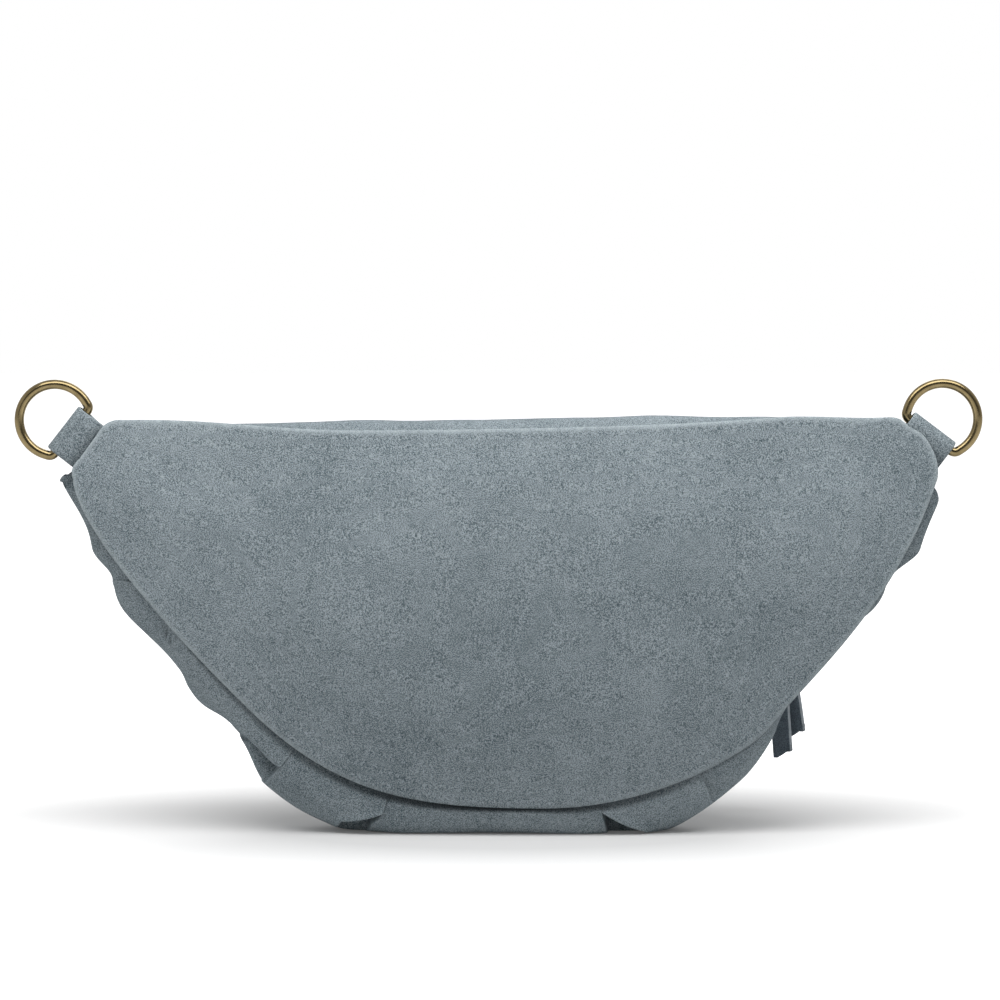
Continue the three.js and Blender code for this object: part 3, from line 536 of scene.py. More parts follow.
def sheet(name, outer, inner, material, **values):
    points = np.concatenate([outer.reshape(-1, 3), inner.reshape(-1, 3)])
    both = {key: np.tile(np.ravel(value), 2) for key, value in values.items()}
    return piece(name, points, sheet_faces(*outer.shape[:2]), material, **both)


def lofts(name, shapes, material, closed=False, **values):
    """One piece made of one loft or more."""
    points = [loops.reshape(-1, 3) for loops in shapes]
    firsts = np.cumsum([0, *map(len, points)])
    faces = []
    for loops, first in zip(shapes, firsts):
        faces += loft_faces(*loops.shape[:2], closed, first)
    return piece(name, np.concatenate(points), faces, material, **values)


def grid_normals(grid):
    return unit(np.cross(np.gradient(grid, axis=1), np.gradient(grid, axis=0)))


def waves(points, size, seed):
    """Soft noise about zero for each point, with waves about so many millimetres long."""
    flat = points.reshape(-1, 3) / size + seed
    return np.array([noise.noise(Vector(p)) for p in flat]).reshape(points.shape[:-1])


def dents(points, layers):
    """Sum of several layers of waves, each with its depth, length and seed."""
    return sum(depth * waves(points, size, seed) for depth, size, seed in layers)


def roll_off(distance, radius):
    """0 inside a rounded edge, rising to 1 at the edge itself."""
    return 1 - np.sqrt(np.maximum(0, 1 - np.maximum(0, 1 - distance / radius) ** 2))


def cosine_steps(count):
    return (1 - np.cos(np.linspace(0, pi, count))) / 2


def circle(count):
    """Even angles once round."""
    return np.linspace(0, 2 * pi, count + 1)[:-1]


# Materials.
def srgb(*levels):
    share = np.array(levels) / 255
    linear = np.where(share < 0.04045, share / 12.92, ((share + 0.055) / 1.055) ** 2.4)
    return (*linear.tolist(), 1.0)


def make(tree, kind, inputs=None, **settings):
    made = tree.nodes.new("ShaderNode" + kind)
    for key, value in settings.items():
        setattr(made, key, value)
    for key, value in (inputs or {}).items():
        if isinstance(value, bpy.types.NodeSocket):
            tree.links.new(value, made.inputs[key])
        else:
            made.inputs[key].default_value = value
    return made


def new_material(name, **values):
    material = bpy.data.materials.new(name)
    material.use_nodes = True
    shader = material.node_tree.nodes["Principled BSDF"]
    for key, value in values.items():
        shader.inputs[key.replace("_", " ")].default_value = value
    return material, material.node_tree, shader


def own_place(tree):
    return make(tree, "TexCoord").outputs["Object"]


def attribute(tree, name, kind="Fac"):
    return make(tree, "Attribute", attribute_name=name).outputs[kind]


def speckle(tree, place, size, detail, roughness=0.5):
    """Noise between 0 and 1 with spots about so many millimetres across."""
    inputs = {"Vector": place, "Scale": 1 / (size * MM), "Detail": detail, "Roughness": roughness}
    return make(tree, "TexNoise", inputs).outputs["Fac"]


def reckon(tree, operation, *values):
    return make(tree, "Math", dict(enumerate(values)), operation=operation).outputs[0]


def blended(tree, factor, first, second):
    return make(tree, "Mix", {0: factor, 6: first, 7: second}, data_type="RGBA").outputs[2]


def weighed(tree, parts):
    """Half, plus each noise's swing about its middle times its weight."""
    total = 0.5 - sum(weight for _, weight in parts) / 2
    for noise_value, weight in parts:
        total = reckon(tree, "MULTIPLY_ADD", noise_value, weight, total)
    return total


def bumped(tree, shader, height, depth, strength):
    bump = make(tree, "Bump", {"Height": height, "Distance": depth * MM, "Strength": strength})
    tree.links.new(bump.outputs["Normal"], shader.inputs["Normal"])


def ranged(tree, value, *limits):
    """Value mapped from the first two limits to the last two, and held between them."""
    return make(tree, "MapRange", dict(enumerate((value, *limits)))).outputs[0]


# Colour that painted shade darkens the suede towards.
PAINTED_SHADE_DARK = srgb(20, 25, 29)
NAP_SHEEN = srgb(205, 218, 226)


def suede_finish(name, dark, light, rim, roughness=0.96):
    """Napped suede: soft patches where the nap lies differently, pale edges of wear and painted sheen, and
    painted shade.
    """
    material, tree, shader = new_material(
        name,
        Roughness=roughness,
        Specular_IOR_Level=0.12,
        Sheen_Weight=0.16,
        Sheen_Roughness=0.45,
        Sheen_Tint=NAP_SHEEN,
    )
    place = attribute(tree, "rest", "Vector")
    patches = speckle(tree, place, 62, 3)
    clouds = speckle(tree, place, 15, 4, 0.6)
    nap = speckle(tree, place, 2.4, 3, 0.6)
    grain = speckle(tree, place, 0.38, 2, 0.6)
    tone = weighed(tree, [(patches, 0.4), (clouds, 0.35), (nap, 0.5), (grain, 3.7)])
    colour = blended(tree, tone, srgb(*dark), srgb(*light))
    # Pale edges, in patches: wear, and on the back panel's rim painted sheen as well.
    edge_patches = reckon(tree, "MULTIPLY_ADD", nap, 0.8, 0.15)
    wear_and_sheen = reckon(tree, "MULTIPLY", attribute(tree, "edge"), edge_patches)
    colour = blended(tree, wear_and_sheen, colour, srgb(*rim))
    # Painted shade: the suede darkens where a piece's shade value asks for it.
    colour = blended(tree, attribute(tree, "shade"), colour, PAINTED_SHADE_DARK)
    tree.links.new(colour, shader.inputs["Base Color"])
    bumped(tree, shader, weighed(tree, [(grain, 0.7), (nap, 0.5)]), 0.35, 0.7)
    return material


def brass_finish(name, dark, light):
    """Antique brass: brown in the aged finish, brighter where that finish has gone."""
    material, tree, shader = new_material(name, Metallic=1.0)
    patina = speckle(tree, own_place(tree), 3.5, 4, 0.6)
    colour = blended(tree, weighed(tree, [(patina, 0.9)]), srgb(*dark), srgb(*light))
    tree.links.new(colour, shader.inputs["Base Color"])
    tree.links.new(reckon(tree, "MULTIPLY_ADD", patina, 0.14, 0.12), shader.inputs["Roughness"])
    bumped(tree, shader, patina, 0.02, 0.1)
    return material


def woven_finish(name, dark, light, pitch):
    """Plain woven cloth: two crossing sets of threads, each rising over the other in turn."""
    material, tree, shader = new_material(name, Roughness=0.85, Sheen_Weight=0.15)
    place = attribute(tree, "rest", "Vector")
    threads = []
    for direction in ("X", "Z"):
        inputs = {"Vector": place, "Scale": pi / 10 / (pitch * MM), "Distortion": 0.5}
        wave = make(tree, "TexWave", inputs, bands_direction=direction)
        threads.append(wave.outputs["Fac"])
    weave = reckon(tree, "MULTIPLY", *threads)
    slubs = speckle(tree, place, 5, 3)
    tone = weighed(tree, [(weave, 0.8), (slubs, 0.6)])
    colour = blended(tree, tone, srgb(*dark), srgb(*light))
    tree.links.new(colour, shader.inputs["Base Color"])
    bumped(tree, shader, weave, 0.2, 0.8)
    return material


SUEDE_FINISH = suede_finish("suede", (74, 87, 93), (158, 168, 173), (170, 180, 184))
THONG_FINISH = suede_finish("thong_leather", (70, 81, 90), (114, 125, 134), (200, 208, 213), 0.8)
BRASS_FINISH = brass_finish("antique_brass", (88, 77, 52), (146, 131, 97))
LINING_FINISH = woven_finish("lining_cloth", (58, 66, 75), (98, 108, 118), 0.7)
TAPE_FINISH = woven_finish("zip_tape_cloth", (42, 49, 55), (82, 92, 100), 0.9)
FELT_FINISH = suede_finish("interlining_felt", (150, 150, 146), (205, 205, 200), (220, 220, 216))
THREAD_FINISH = woven_finish("thread", (88, 100, 107), (140, 152, 158), 0.4)


# Back panel: crowned, its edge rolled over into the seam.
PANEL_GRID = (240, 120)
PANEL_CROWN = 2.8
CROWN_RUN = 28
PANEL_BELLY = 0.6
BELLY_HEIGHT = 72
BELLY_RUN = 40
PANEL_DENTS = ((0.9, 58, 3.1), (0.35, 21, 7.7))
PANEL_DENT_RISE = (1, 22)
PANEL_ROLL = 1.6
RIM_STAND = 1.0
RIM_RUN = 4
# The back panel's pale rim is partly wear and partly painted sheen, with less of it along the middle of
# the base.
RIM_WIDTH = 1.3
BASE_RUN = 62
BASE_RISE = (20, 60)
BASE_WEAR_AND_SHEEN_LOSS = 0.85
# Painted shade, darkening the back panel from near its top down to its bottom, as light from above would.
PANEL_PAINTED_SHADE = 0.2
PANEL_SHADE_RISE = (10, 140)
MIDDLE = vec(0, 110)
RING_PASS = vec(152.0, 156.7)
RING_ROOM = 1.7
RING_ROOM_REACH = 4


def panel_chains():
    """The lower and the upper edge of the back panel, both from left to right."""
    shares = np.linspace(0, 1, 3000)
    boundary = np.vstack([slumped(lower_edge.at(shares)), slumped(upper_edge.at(shares))[::-1]])
    room = RING_ROOM * hill(np.linalg.norm(boundary - RING_PASS, axis=1), RING_ROOM_REACH)
    _, out, _ = tab_frame(1)
    boundary = boundary - np.outer(room, out[[0, 2]])
    boundary = np.roll(boundary, -boundary[:, 0].argmin(), axis=0)
    last = boundary[:, 0].argmax()
    return boundary[: last + 1], np.vstack([boundary[last:], boundary[:1]])[::-1]


def half_moon(columns, rows, shrink=1.0, half_width=None):
    """A grid in X and Z over the back panel, drawn in towards its middle."""
    low, high = [(chain - MIDDLE) * shrink + MIDDLE for chain in panel_chains()]
    ends = (-half_width, half_width) if half_width else (low[0, 0], low[-1, 0])
    x = lerp(ends[0], ends[1], cosine_steps(columns))
    bottom = np.interp(x, low[:, 0], low[:, 1])
    top = np.interp(x, high[:, 0], high[:, 1])
    z = lerp(bottom[:, None], top[:, None], cosine_steps(rows)[None, :])
    return np.broadcast_to(x[:, None], z.shape), z


def edge_distance(x, z):
    line = np.vstack(panel_chains())[::2]
    parts = np.array_split(stack(x.ravel(), z.ravel()), 60)
    near = [np.hypot(*(part[:, None] - line).transpose(2, 0, 1)).min(1) for part in parts]
    return np.concatenate(near).reshape(x.shape)


def back_panel():
    x, z = half_moon(*PANEL_GRID)
    distance = edge_distance(x, z)
    crown = PANEL_CROWN * (1 - np.exp(-distance / CROWN_RUN))
    crown += PANEL_BELLY * (1 - ((z - BELLY_HEIGHT) / BELLY_HEIGHT) ** 2) * smooth(distance, 0, BELLY_RUN)
    uneven = dents(stack(x, 0, z), PANEL_DENTS) * smooth(distance, *PANEL_DENT_RISE)
    face = -(SUEDE + crown + uneven)
    front = stack(x, lerp(face, -RIM_STAND, roll_off(distance, PANEL_ROLL)), z)
    back = stack(x, -RIM_STAND / 2 * (1 - smooth(distance, 0, RIM_RUN)), z)
    # Pale rim: wear and painted sheen, less of it along the middle of the base.
    base = hill(x, BASE_RUN) * (1 - smooth(z, *BASE_RISE))
    wear_and_sheen = hill(distance, RIM_WIDTH) * (1 - BASE_WEAR_AND_SHEEN_LOSS * base)
    # Painted shade, deepening towards the bottom of the panel.
    shade = PANEL_PAINTED_SHADE * (1 - smooth(z, *PANEL_SHADE_RISE))
    return sheet("back_panel_suede", front, back, SUEDE_FINISH, edge=wear_and_sheen, shade=shade)


# Front lower panel with its four tucks. At each, the strip on one side lies over the other: its fold
# starts at the seam, turns a corner and swings away, and leaves a deep pocket beside the other's edge.
TUCK_WIDTH = 0.034
TUCK_SEAM_STEP = 0.25
TUCK_TURN = (0.7, 1.15)
TUCK_FADE = 0.12
FOLD_UNDER = 0.004
FOLD_STEPS = vec(-1, -0.4, -0.25, -0.1, 0.25, 0.4, 0.5, 0.62, 1)
EDGE_OFFSETS = vec(-0.001, 0.001, 0.0025)
FLAP_OFFSETS = vec(0, 0, -0.0005, 0.001, TUCK_WIDTH)
UNDER_SHARES = vec(1, 0.6, 0, 0, 0)
SINK_SHARES = vec(0, -0.1, -0.5, -1, -1, -0.5, 0, 0, 0)
LIFT_SHARES = vec(0, 0, 0, 0, 0, 0, 0.3, 1, 0)
UPPER_BANK = ((-0.2, 0.5), 0.09)
LOWER_BANK = ((0.1, 0.4), 0.05)
DIP_RISE = (0.5, 1.2)
DIP_FADE = (0.1, 0.4)
HOLLOW_RISE = 0.06
FOLD_WEAR = ((0.4, 0.55), (0.3, -0.42))
FOLD_WEAR_WIDTH = 0.08
# Each tuck's place on the front, the side that lies over, where its fold turns and leaves, how far its
# flap swings and its edge moves, how deep it sinks and how high it lifts, and the hollows beside it.
Tuck = namedtuple("Tuck", "place over corner leave swing edge sink lift dip hollow", defaults=(0, 0))
TUCKS = (
    Tuck(-0.545, -1, 0.088, 0.14, 0.082, 0, 11, 0.6, dip=9),
    Tuck(-0.307, -1, 0.07, 0.15, 0.075, 0.018, 12, 1),
    Tuck(0.185, 1, 0.034, 0.14, 0.085, 0.006, 14, 1),
    Tuck(0.43, -1, 0.05, 0.1, 0, 0, 1.6, 0.6, hollow=2),
)
END_DENSITY = 0.35
FRONT_COLUMNS = 261
FOLD_COLUMNS = 61


def end_dense(u):
    """Even stations from -1 to 1 drawn closer together towards both ends."""
    return u * (1 + END_DENSITY - END_DENSITY * u**2)


def lower_columns():
    even = end_dense(np.linspace(-1, 1, FRONT_COLUMNS))
    clear = np.all([np.abs(even - t.place) > TUCK_WIDTH for t in TUCKS], axis=0)
    folds = [np.linspace(-1, 1, FOLD_COLUMNS) * TUCK_WIDTH + t.place for t in TUCKS]
    return np.sort(np.concatenate([even[clear], *folds]))


def surface_normals(surface, u, s):
    step = 1e-3
    along = surface(np.minimum(u + step, 1), s) - surface(np.maximum(u - step, -1), s)
    across = surface(u, np.minimum(s + step, 1)) - surface(u, np.maximum(s - step, 0))
    return unit(np.cross(across, along))


def bank(across, rise, run):
    """Rises across a fold, then falls off over the run along the front."""
    return smooth(across, *rise) * hill(np.maximum(0, across - rise[1]) * TUCK_WIDTH, run)


def tucked(columns, rows):
    """Place along the front, height above the smooth panel, and wear, with the tucks folded."""
    u = np.empty((len(columns), len(rows)))
    height = np.zeros_like(u)
    wear = np.zeros_like(u)
    shut = [smooth(rows, *[t.corner * turn for turn in TUCK_TURN]) for t in TUCKS]
    fading = [1 - smooth(rows, t.leave, t.leave + TUCK_FADE) for t in TUCKS]
    strength = [lerp(TUCK_SEAM_STEP, 1, opened) * left for opened, left in zip(shut, fading)]
    for j, s in enumerate(rows):
        knots, places, heights = [-1.0], [-1.0], [0.0]
        for t, strong in zip(TUCKS, strength):
            opening = np.clip((s - t.corner) / (t.leave - t.corner), 0, 1)
            edge = t.edge * opening + EDGE_OFFSETS
            flap = t.swing * opening + FOLD_UNDER * strong[j] * UNDER_SHARES + FLAP_OFFSETS
            offsets = np.concatenate([[-TUCK_WIDTH], edge, flap])
            levels = t.sink * strong[j] * SINK_SHARES + t.lift * strong[j] * LIFT_SHARES
            order = slice(None, None, t.over)
            knots.extend((t.place + t.over * TUCK_WIDTH * FOLD_STEPS)[order])
            places.extend((t.place + t.over * offsets)[order])
            heights.extend(levels[order])
        u[:, j] = np.interp(columns, [*knots, 1], [*places, 1])
        height[:, j] = np.interp(columns, [*knots, 1], [*heights, 0])
    for t, strong, left in zip(TUCKS, strength, fading):
        across = t.over * (columns - t.place) / TUCK_WIDTH
        rise = [t.leave * share for share in DIP_RISE]
        fade = [t.leave + step for step in DIP_FADE]
        height -= t.dip * np.outer(bank(across, *UPPER_BANK), between(rows, *rise, *fade))
        height -= t.hollow * np.outer(bank(-across, *LOWER_BANK), smooth(rows, 0, HOLLOW_RISE) * left)
        wear_and_sheen = sum(share * hill(across - place, FOLD_WEAR_WIDTH) for share, place in FOLD_WEAR)
        wear += wear_and_sheen[:, None] * strong[None, :]
    return u, height, wear


FLOOR_BEND = 1.2


def on_floor(points):
    """Keeps points above the floor, with a soft bend where the panel meets it."""
    points[..., 2] = (points[..., 2] + np.sqrt(points[..., 2] ** 2 + FLOOR_BEND**2)) / 2
    return points


# The speed at which a cubic curve leaves its end, in lengths of its handle.
END_SPEED = 3
LIP_ROLL = 0.9
LIP_WEAR = 0.6
LIP_WEAR_RUN = 0.008


def rolled(outer, u, to_lip):
    """Turns the edge in at the zip; beyond the zip the two edges are sewn together."""
    turned = LIP_ROLL * (1 - smooth(np.abs(u), WINDOW_U, CLOSE_U))
    return outer - grid_normals(outer) * (roll_off(to_lip, LIP_ROLL) * turned)[..., None]


LOWER_ROWS = 170
LOWER_ROW_POWER = 1.6
LOWER_DENTS = ((1.5, 46, 11.3), (0.5, 17, 5.9))
LOWER_CALM = (0.01, 0.12, 0.9, 1)
PANEL_THICK = 1.1
SEAM_RECESS = 2.8
RECESS_RUN = 0.03
RECESS_LEAN = 0.1
FLOOR_EASE = 3
SIDE_WRINKLES = ((-0.925, 0.0035, 0.7), (-0.941, 0.003, 0.9), (-0.953, 0.004, 0.6))
WRINKLE_SLANT = 0.25
WRINKLE_HEIGHT = 0.06
WRINKLE_SPAN = (0.01, 0.05, 0.1, 0.2)
# Painted shadow in a thin line under the back panel's rim, strongest along the middle of the base.
SEAM_SHADE_FADE = (0.021, 0.036)
seam_shade = profile((0.2, 0.3, 0.5, 0.85, 0.95, 0.6, 0.2, 0.3, 0.4))


def lower_panel():
    rows = np.linspace(0, 1, LOWER_ROWS) ** LOWER_ROW_POWER
    u, height, wear = tucked(lower_columns(), rows)
    s = np.broadcast_to(rows[None, :], u.shape)
    base = lower_point(u, s)
    uneven = dents(base, LOWER_DENTS) * between(s, *LOWER_CALM)
    for place, width, depth in SIDE_WRINKLES:
        line = hill(u - place - WRINKLE_SLANT * (s - WRINKLE_HEIGHT), width)
        uneven -= depth * line * between(s, *WRINKLE_SPAN)
    normals = surface_normals(lower_point, u, s)
    outer = base + normals * (height + uneven)[..., None]
    recess = 1 - smooth(s, 0, RECESS_RUN)
    outer -= seam(u)[1] * (SEAM_RECESS * recess)[..., None]
    outer[..., 1] += RECESS_LEAN * SEAM_RECESS * recess
    outer = rolled(outer, u, (1 - s) * END_SPEED * lower_handle(u))
    inner = on_floor(outer - normals * PANEL_THICK)
    outer = on_floor(outer)
    inner[..., 2] += PANEL_THICK * (1 - smooth(outer[..., 2], 0, FLOOR_EASE))
    wear_and_sheen = wear + LIP_WEAR * smooth(s, 1 - LIP_WEAR_RUN, 1)
    # Painted shadow along the seam, under the back panel's rim.
    shade = (1 - smooth(s, *SEAM_SHADE_FADE)) * seam_shade(u)
    return sheet("lower_panel_suede", outer, inner, SUEDE_FINISH, edge=wear_and_sheen, shade=shade)


YOKE_ROWS = 70
YOKE_ROW_POWER = 1.3
YOKE_DENTS = ((1.6, 52, 2.3), (0.5, 19, 9.1))
YOKE_CALM = (0.02, 0.15, 0.8, 0.98)
YOKE_END_CALM = 0.93
YOKE_LEAST = 0.1
YOKE_TOP_WEAR = 0.3
YOKE_TOP_WEAR_FROM = 0.95
# Painted shade over the yoke's upper part, rising towards its top seam.
YOKE_SHADE = 0.14
YOKE_SHADE_RISE = (0.55, 0.85)


def yoke():
    u = end_dense(np.linspace(-1, 1, FRONT_COLUMNS))[:, None]
    u, s = np.broadcast_arrays(u, (np.linspace(0, 1, YOKE_ROWS) ** YOKE_ROW_POWER)[None, :])
    base = yoke_point(u, s)
    calm = between(s, *YOKE_CALM) * (1 - smooth(np.abs(u), YOKE_END_CALM, 1))
    uneven = dents(base, YOKE_DENTS) * calm
    outer = base + surface_normals(yoke_point, u, s) * uneven[..., None]
    outer = rolled(outer, u, s * END_SPEED * yoke_handle(u))
    inner = outer - grid_normals(outer) * PANEL_THICK
    inner[..., 1] = np.maximum(inner[..., 1], rim_depth(inner[..., 0], inner[..., 2]))
    outer[..., 1] = np.maximum(outer[..., 1], inner[..., 1] + YOKE_LEAST)
    wear_and_sheen = LIP_WEAR * (1 - smooth(s, 0, LIP_WEAR_RUN)) + YOKE_TOP_WEAR * smooth(s, YOKE_TOP_WEAR_FROM, 1)
    # Painted shade on the yoke's upper part.
    shade = YOKE_SHADE * smooth(s, *YOKE_SHADE_RISE)
    return sheet("yoke_suede", outer, inner, SUEDE_FINISH, edge=wear_and_sheen, shade=shade)


# Sweeps of a strip with rounded corners along a line of places and directions.
ROUND_SHARE = 0.3


def strip_section(width, thick, corner):
    """Points round a strip's section, and how far each lies on the cut sides."""
    half, high = width / 2, thick / 2
    cut = corner * ROUND_SHARE
    quarter = [(half, high - corner), (half - cut, high - cut), (half - corner, high)]
    right = quarter + [(half / 2, high), (0, high)]
    upper = right + [(-x, y) for x, y in reversed(right[:-1])]
    section = np.array(upper + [(-x, -y) for x, y in upper])
    return section, smooth(np.abs(section[:, 0]), half - corner, half)


def swept(name, centres, across, faces_out, section, material, cut, lengthwise=0.0, shade=0.0):
    """A strip of one section along centres; across and faces_out are its two directions there."""
    section, sides = section
    loops = centres[:, None] + across[:, None] * section[None, :, :1]
    loops = loops + faces_out[:, None] * section[None, :, 1:] + lengthwise
    edge = np.broadcast_to(sides * cut, loops.shape[:2])
    shade = np.broadcast_to(np.reshape(shade, (-1, 1)), loops.shape[:2])
    return lofts(name, [loops], material, edge=edge, shade=shade)


TAB_CORNER = 0.5
TAB_WEAR = 0.7
# Painted shade over the tabs, and a painted shadow across them where they pass under the back panel's
# edge.
TAB_SHADE = 0.1
TAB_PAINTED_SHADOW = 0.4
TAB_PAINTED_SHADOW_RUN = 2.6


def tab(side, name):
    bar, out, across = tab_frame(side)
    radius = WIRE / 2 + BAR_CLEAR + SUEDE / 2
    tail_low = FIT_GAP + SUEDE / 2
    tail_high = tail_low + SUEDE + FIT_GAP
    length = TAB_REACH[side] + TAB_TUCK
    rise = np.linspace(0, 1, 14)[:-1]
    turn = np.linspace(0, pi, 25)
    fall = np.linspace(0, 1, 15)[1:]
    ahead = np.concatenate([-length * (1 - rise), radius * np.sin(turn), -TAB_RISE * fall, [-length]])
    depth = np.concatenate([
        lerp(tail_low, bar[1] - radius, smooth(rise, 0, 1)),
        bar[1] - radius * np.cos(turn),
        lerp(bar[1] + radius, tail_high, smooth(fall, 0, 1)),
        [tail_high],
    ])
    facing = np.concatenate([0 * rise, turn, np.full(len(fall) + 1, pi)])
    centres = stack(bar[0], depth, bar[2]) + np.outer(ahead, out)
    faces_out = np.outer(np.sin(facing), out) - np.outer(np.cos(facing), [0, 1, 0])
    section = strip_section(TAB_WIDTH, SUEDE, TAB_CORNER)
    wide = np.broadcast_to(across, centres.shape)
    # Painted shade, with a painted shadow where the back panel's edge lies over the tab.
    shade = TAB_SHADE + TAB_PAINTED_SHADOW * hill(ahead + TAB_REACH[side], TAB_PAINTED_SHADOW_RUN)
    return swept(name, centres, wide, faces_out, section, SUEDE_FINISH, TAB_WEAR, shade=shade)


def ring_line(count):
    """Centre line of a D-ring: straight bar, tight corners, splayed sides and a round bow."""
    side_low = RING_CORNER * (1 - sin(RING_SPLAY))
    side_high = RING_RISE - RING_RADIUS * sin(RING_SPLAY)
    lead = (side_high - side_low) * tan(RING_SPLAY)
    half = (RING_RADIUS - RING_CORNER) * cos(RING_SPLAY) - lead

    def arc(x, y, radius, start, end):
        angle = np.linspace(start, end, 90)
        return stack(x + radius * np.cos(angle), y + radius * np.sin(angle))

    line = np.vstack([
        arc(half, RING_CORNER, RING_CORNER, -pi / 2, -RING_SPLAY),
        arc(0, RING_RISE, RING_RADIUS, -RING_SPLAY, pi + RING_SPLAY),
        arc(-half, RING_CORNER, RING_CORNER, pi + RING_SPLAY, 1.5 * pi),
    ])
    line = np.vstack([line, line[:1]])
    steps = line_steps(line)
    return on_line(line, steps, np.linspace(0, steps[-1], count + 1)[:-1])


def ring(side, name):
    bar, out, across = tab_frame(side)
    line = ring_line(200)
    along = unit(np.roll(line, -1, 0) - np.roll(line, 1, 0))
    normal = stack(along[:, 1], -along[:, 0])
    turn = circle(20)
    flat = line[:, None] + normal[:, None] * (np.cos(turn) * WIRE / 2)[None, :, None]
    depth = np.cross(across, out)
    loops = bar + flat[..., :1] * across + flat[..., 1:] * out
    loops = loops + (np.sin(turn) * WIRE / 2)[None, :, None] * depth
    return lofts(name, [loops], BRASS_FINISH, closed=True)


# Zip.
TAPE_LAP = 0.6
CORD_INSET = 0.2
CORD_RADII = (0.7, 0.75)
TOOTH_CORNER = 0.35
# Each section of a tooth from its root on the cord to its tip: height up the tape, width and thickness.
TOOTH_SECTIONS = (
    (5.5, 2.3, 1.3),
    (4.9, 2.4, 2.5),
    (2.6, 1.7, 2.4),
    (1.2, 1.45, 2.2),
    (0.2, 1.7, 2.1),
    (-0.9, 1.1, 1.6),
)


def zip_tape(side, name):
    angles = np.linspace(-CHAIN_ANGLE, CHAIN_ANGLE, 120)[:, None]
    ups = np.linspace(*sorted([side * (CORD_OUTER - TAPE_LAP), side * TAPE_OUTER]), 7)
    outer, inner = [zip_point(angles, ups, out) for out in (TAPE / 2, -TAPE / 2)]
    return sheet(name, outer, inner, TAPE_FINISH)


def tooth(angle, side):
    loops = []
    for up, width, thick in TOOTH_SECTIONS:
        x, y = strip_section(width, thick, TOOTH_CORNER)[0].T
        loops.append(zip_point(angle + x / ZIP_RADIUS, side * up, y))
    return np.array(loops)


def teeth(side, name, shift):
    count = int(2 * CHAIN_ANGLE * ZIP_RADIUS / TOOTH_PITCH) - 1
    middle = (np.arange(count) - (count - 1) / 2) * TOOTH_PITCH / ZIP_RADIUS
    angles = np.linspace(-CHAIN_ANGLE, CHAIN_ANGLE, 90)[:, None]
    turn = circle(10)
    up = side * (CORD_OUTER - CORD_INSET) + CORD_RADII[0] * np.cos(turn)
    cord = zip_point(angles, up, CORD_RADII[1] * np.sin(turn))
    row = [tooth(angle, side) for angle in middle + shift / ZIP_RADIUS]
    return lofts(name, [cord, *row], BRASS_FINISH)


FORK_END = 1.2
FORK_MIDDLE = 5


def end_tape(side, name):
    """Tape at one end of the zip, forked round the slider's post."""
    inner = CHAIN_ANGLE + FIT_GAP / ZIP_RADIUS
    slot_end = SLIDER_ANGLE + (SLIDER_LENGTH / 2 + STOP_LENGTH + FORK_END) / ZIP_RADIUS
    tail = np.linspace(slot_end, TAPE_END_ANGLE, 5)[1:]
    angles = np.concatenate([np.linspace(inner, slot_end, 14), tail])
    half = vec(SLOT_HALF_WIDTH, FORK_MIDDLE, END_TAPE_OUTER)
    ups = np.concatenate([-half[::-1], half])
    grid = zip_point(side * angles[:, None], ups[None, :], 0.0)
    index = np.arange(grid.size // 3).reshape(grid.shape[:2])
    in_slot = (angles[:-1, None] < slot_end - 1e-9) & (ups[None, :-1] == -SLOT_HALF_WIDTH)
    made = piece(name, grid, cells(index)[~in_slot].tolist(), TAPE_FINISH)
    thick = made.modifiers.new("cloth", "SOLIDIFY")
    thick.thickness = TAPE * MM
    thick.offset = 0
    return made


STITCH_LENGTH = 2.6
STITCH_PITCH = 3.5
STITCH_RADIUS = 0.3
STITCH_TIP = 0.45
STITCH_ARCH = 0.3
STITCH_SINK = 0.2
STITCH_INSET = 2.6


def stitches(name, line, normals):
    """A row of stitches: short threads that dip into the material at both ends."""
    steps = line_steps(line)
    places = np.linspace(-0.5, 0.5, 7)
    arch = 1 - (2 * places) ** 2
    size = STITCH_RADIUS * lerp(STITCH_TIP, 1, np.sqrt(arch + 1e-6))
    turn = circle(8)
    shapes = []
    for k in range(int(steps[-1] / STITCH_PITCH)):
        at = (k + 0.5) * STITCH_PITCH + places * STITCH_LENGTH
        centre = on_line(line, steps, at)
        normal = unit(on_line(normals, steps, at))
        aside = unit(np.cross(unit(np.gradient(centre, axis=0)), normal))
        centre = centre + normal * (STITCH_ARCH * arch - STITCH_SINK)[:, None]
        loops = centre[:, None] + aside[:, None] * np.outer(size, np.cos(turn))[..., None]
        shapes.append(loops + normal[:, None] * np.outer(size, np.sin(turn))[..., None])
    return lofts(name, shapes, THREAD_FINISH)


def lip_stitches(name, surface, reach, start):
    """Stitches along the zip, a little in from the folded lip."""
    u = np.linspace(-CLOSE_U, CLOSE_U, 400)
    s = np.abs(start - STITCH_INSET / (END_SPEED * reach(u)))
    return stitches(name, surface(u, s), surface_normals(surface, u, s))


THONG_CORNER = 0.3
THONG_WEAR = 0.9


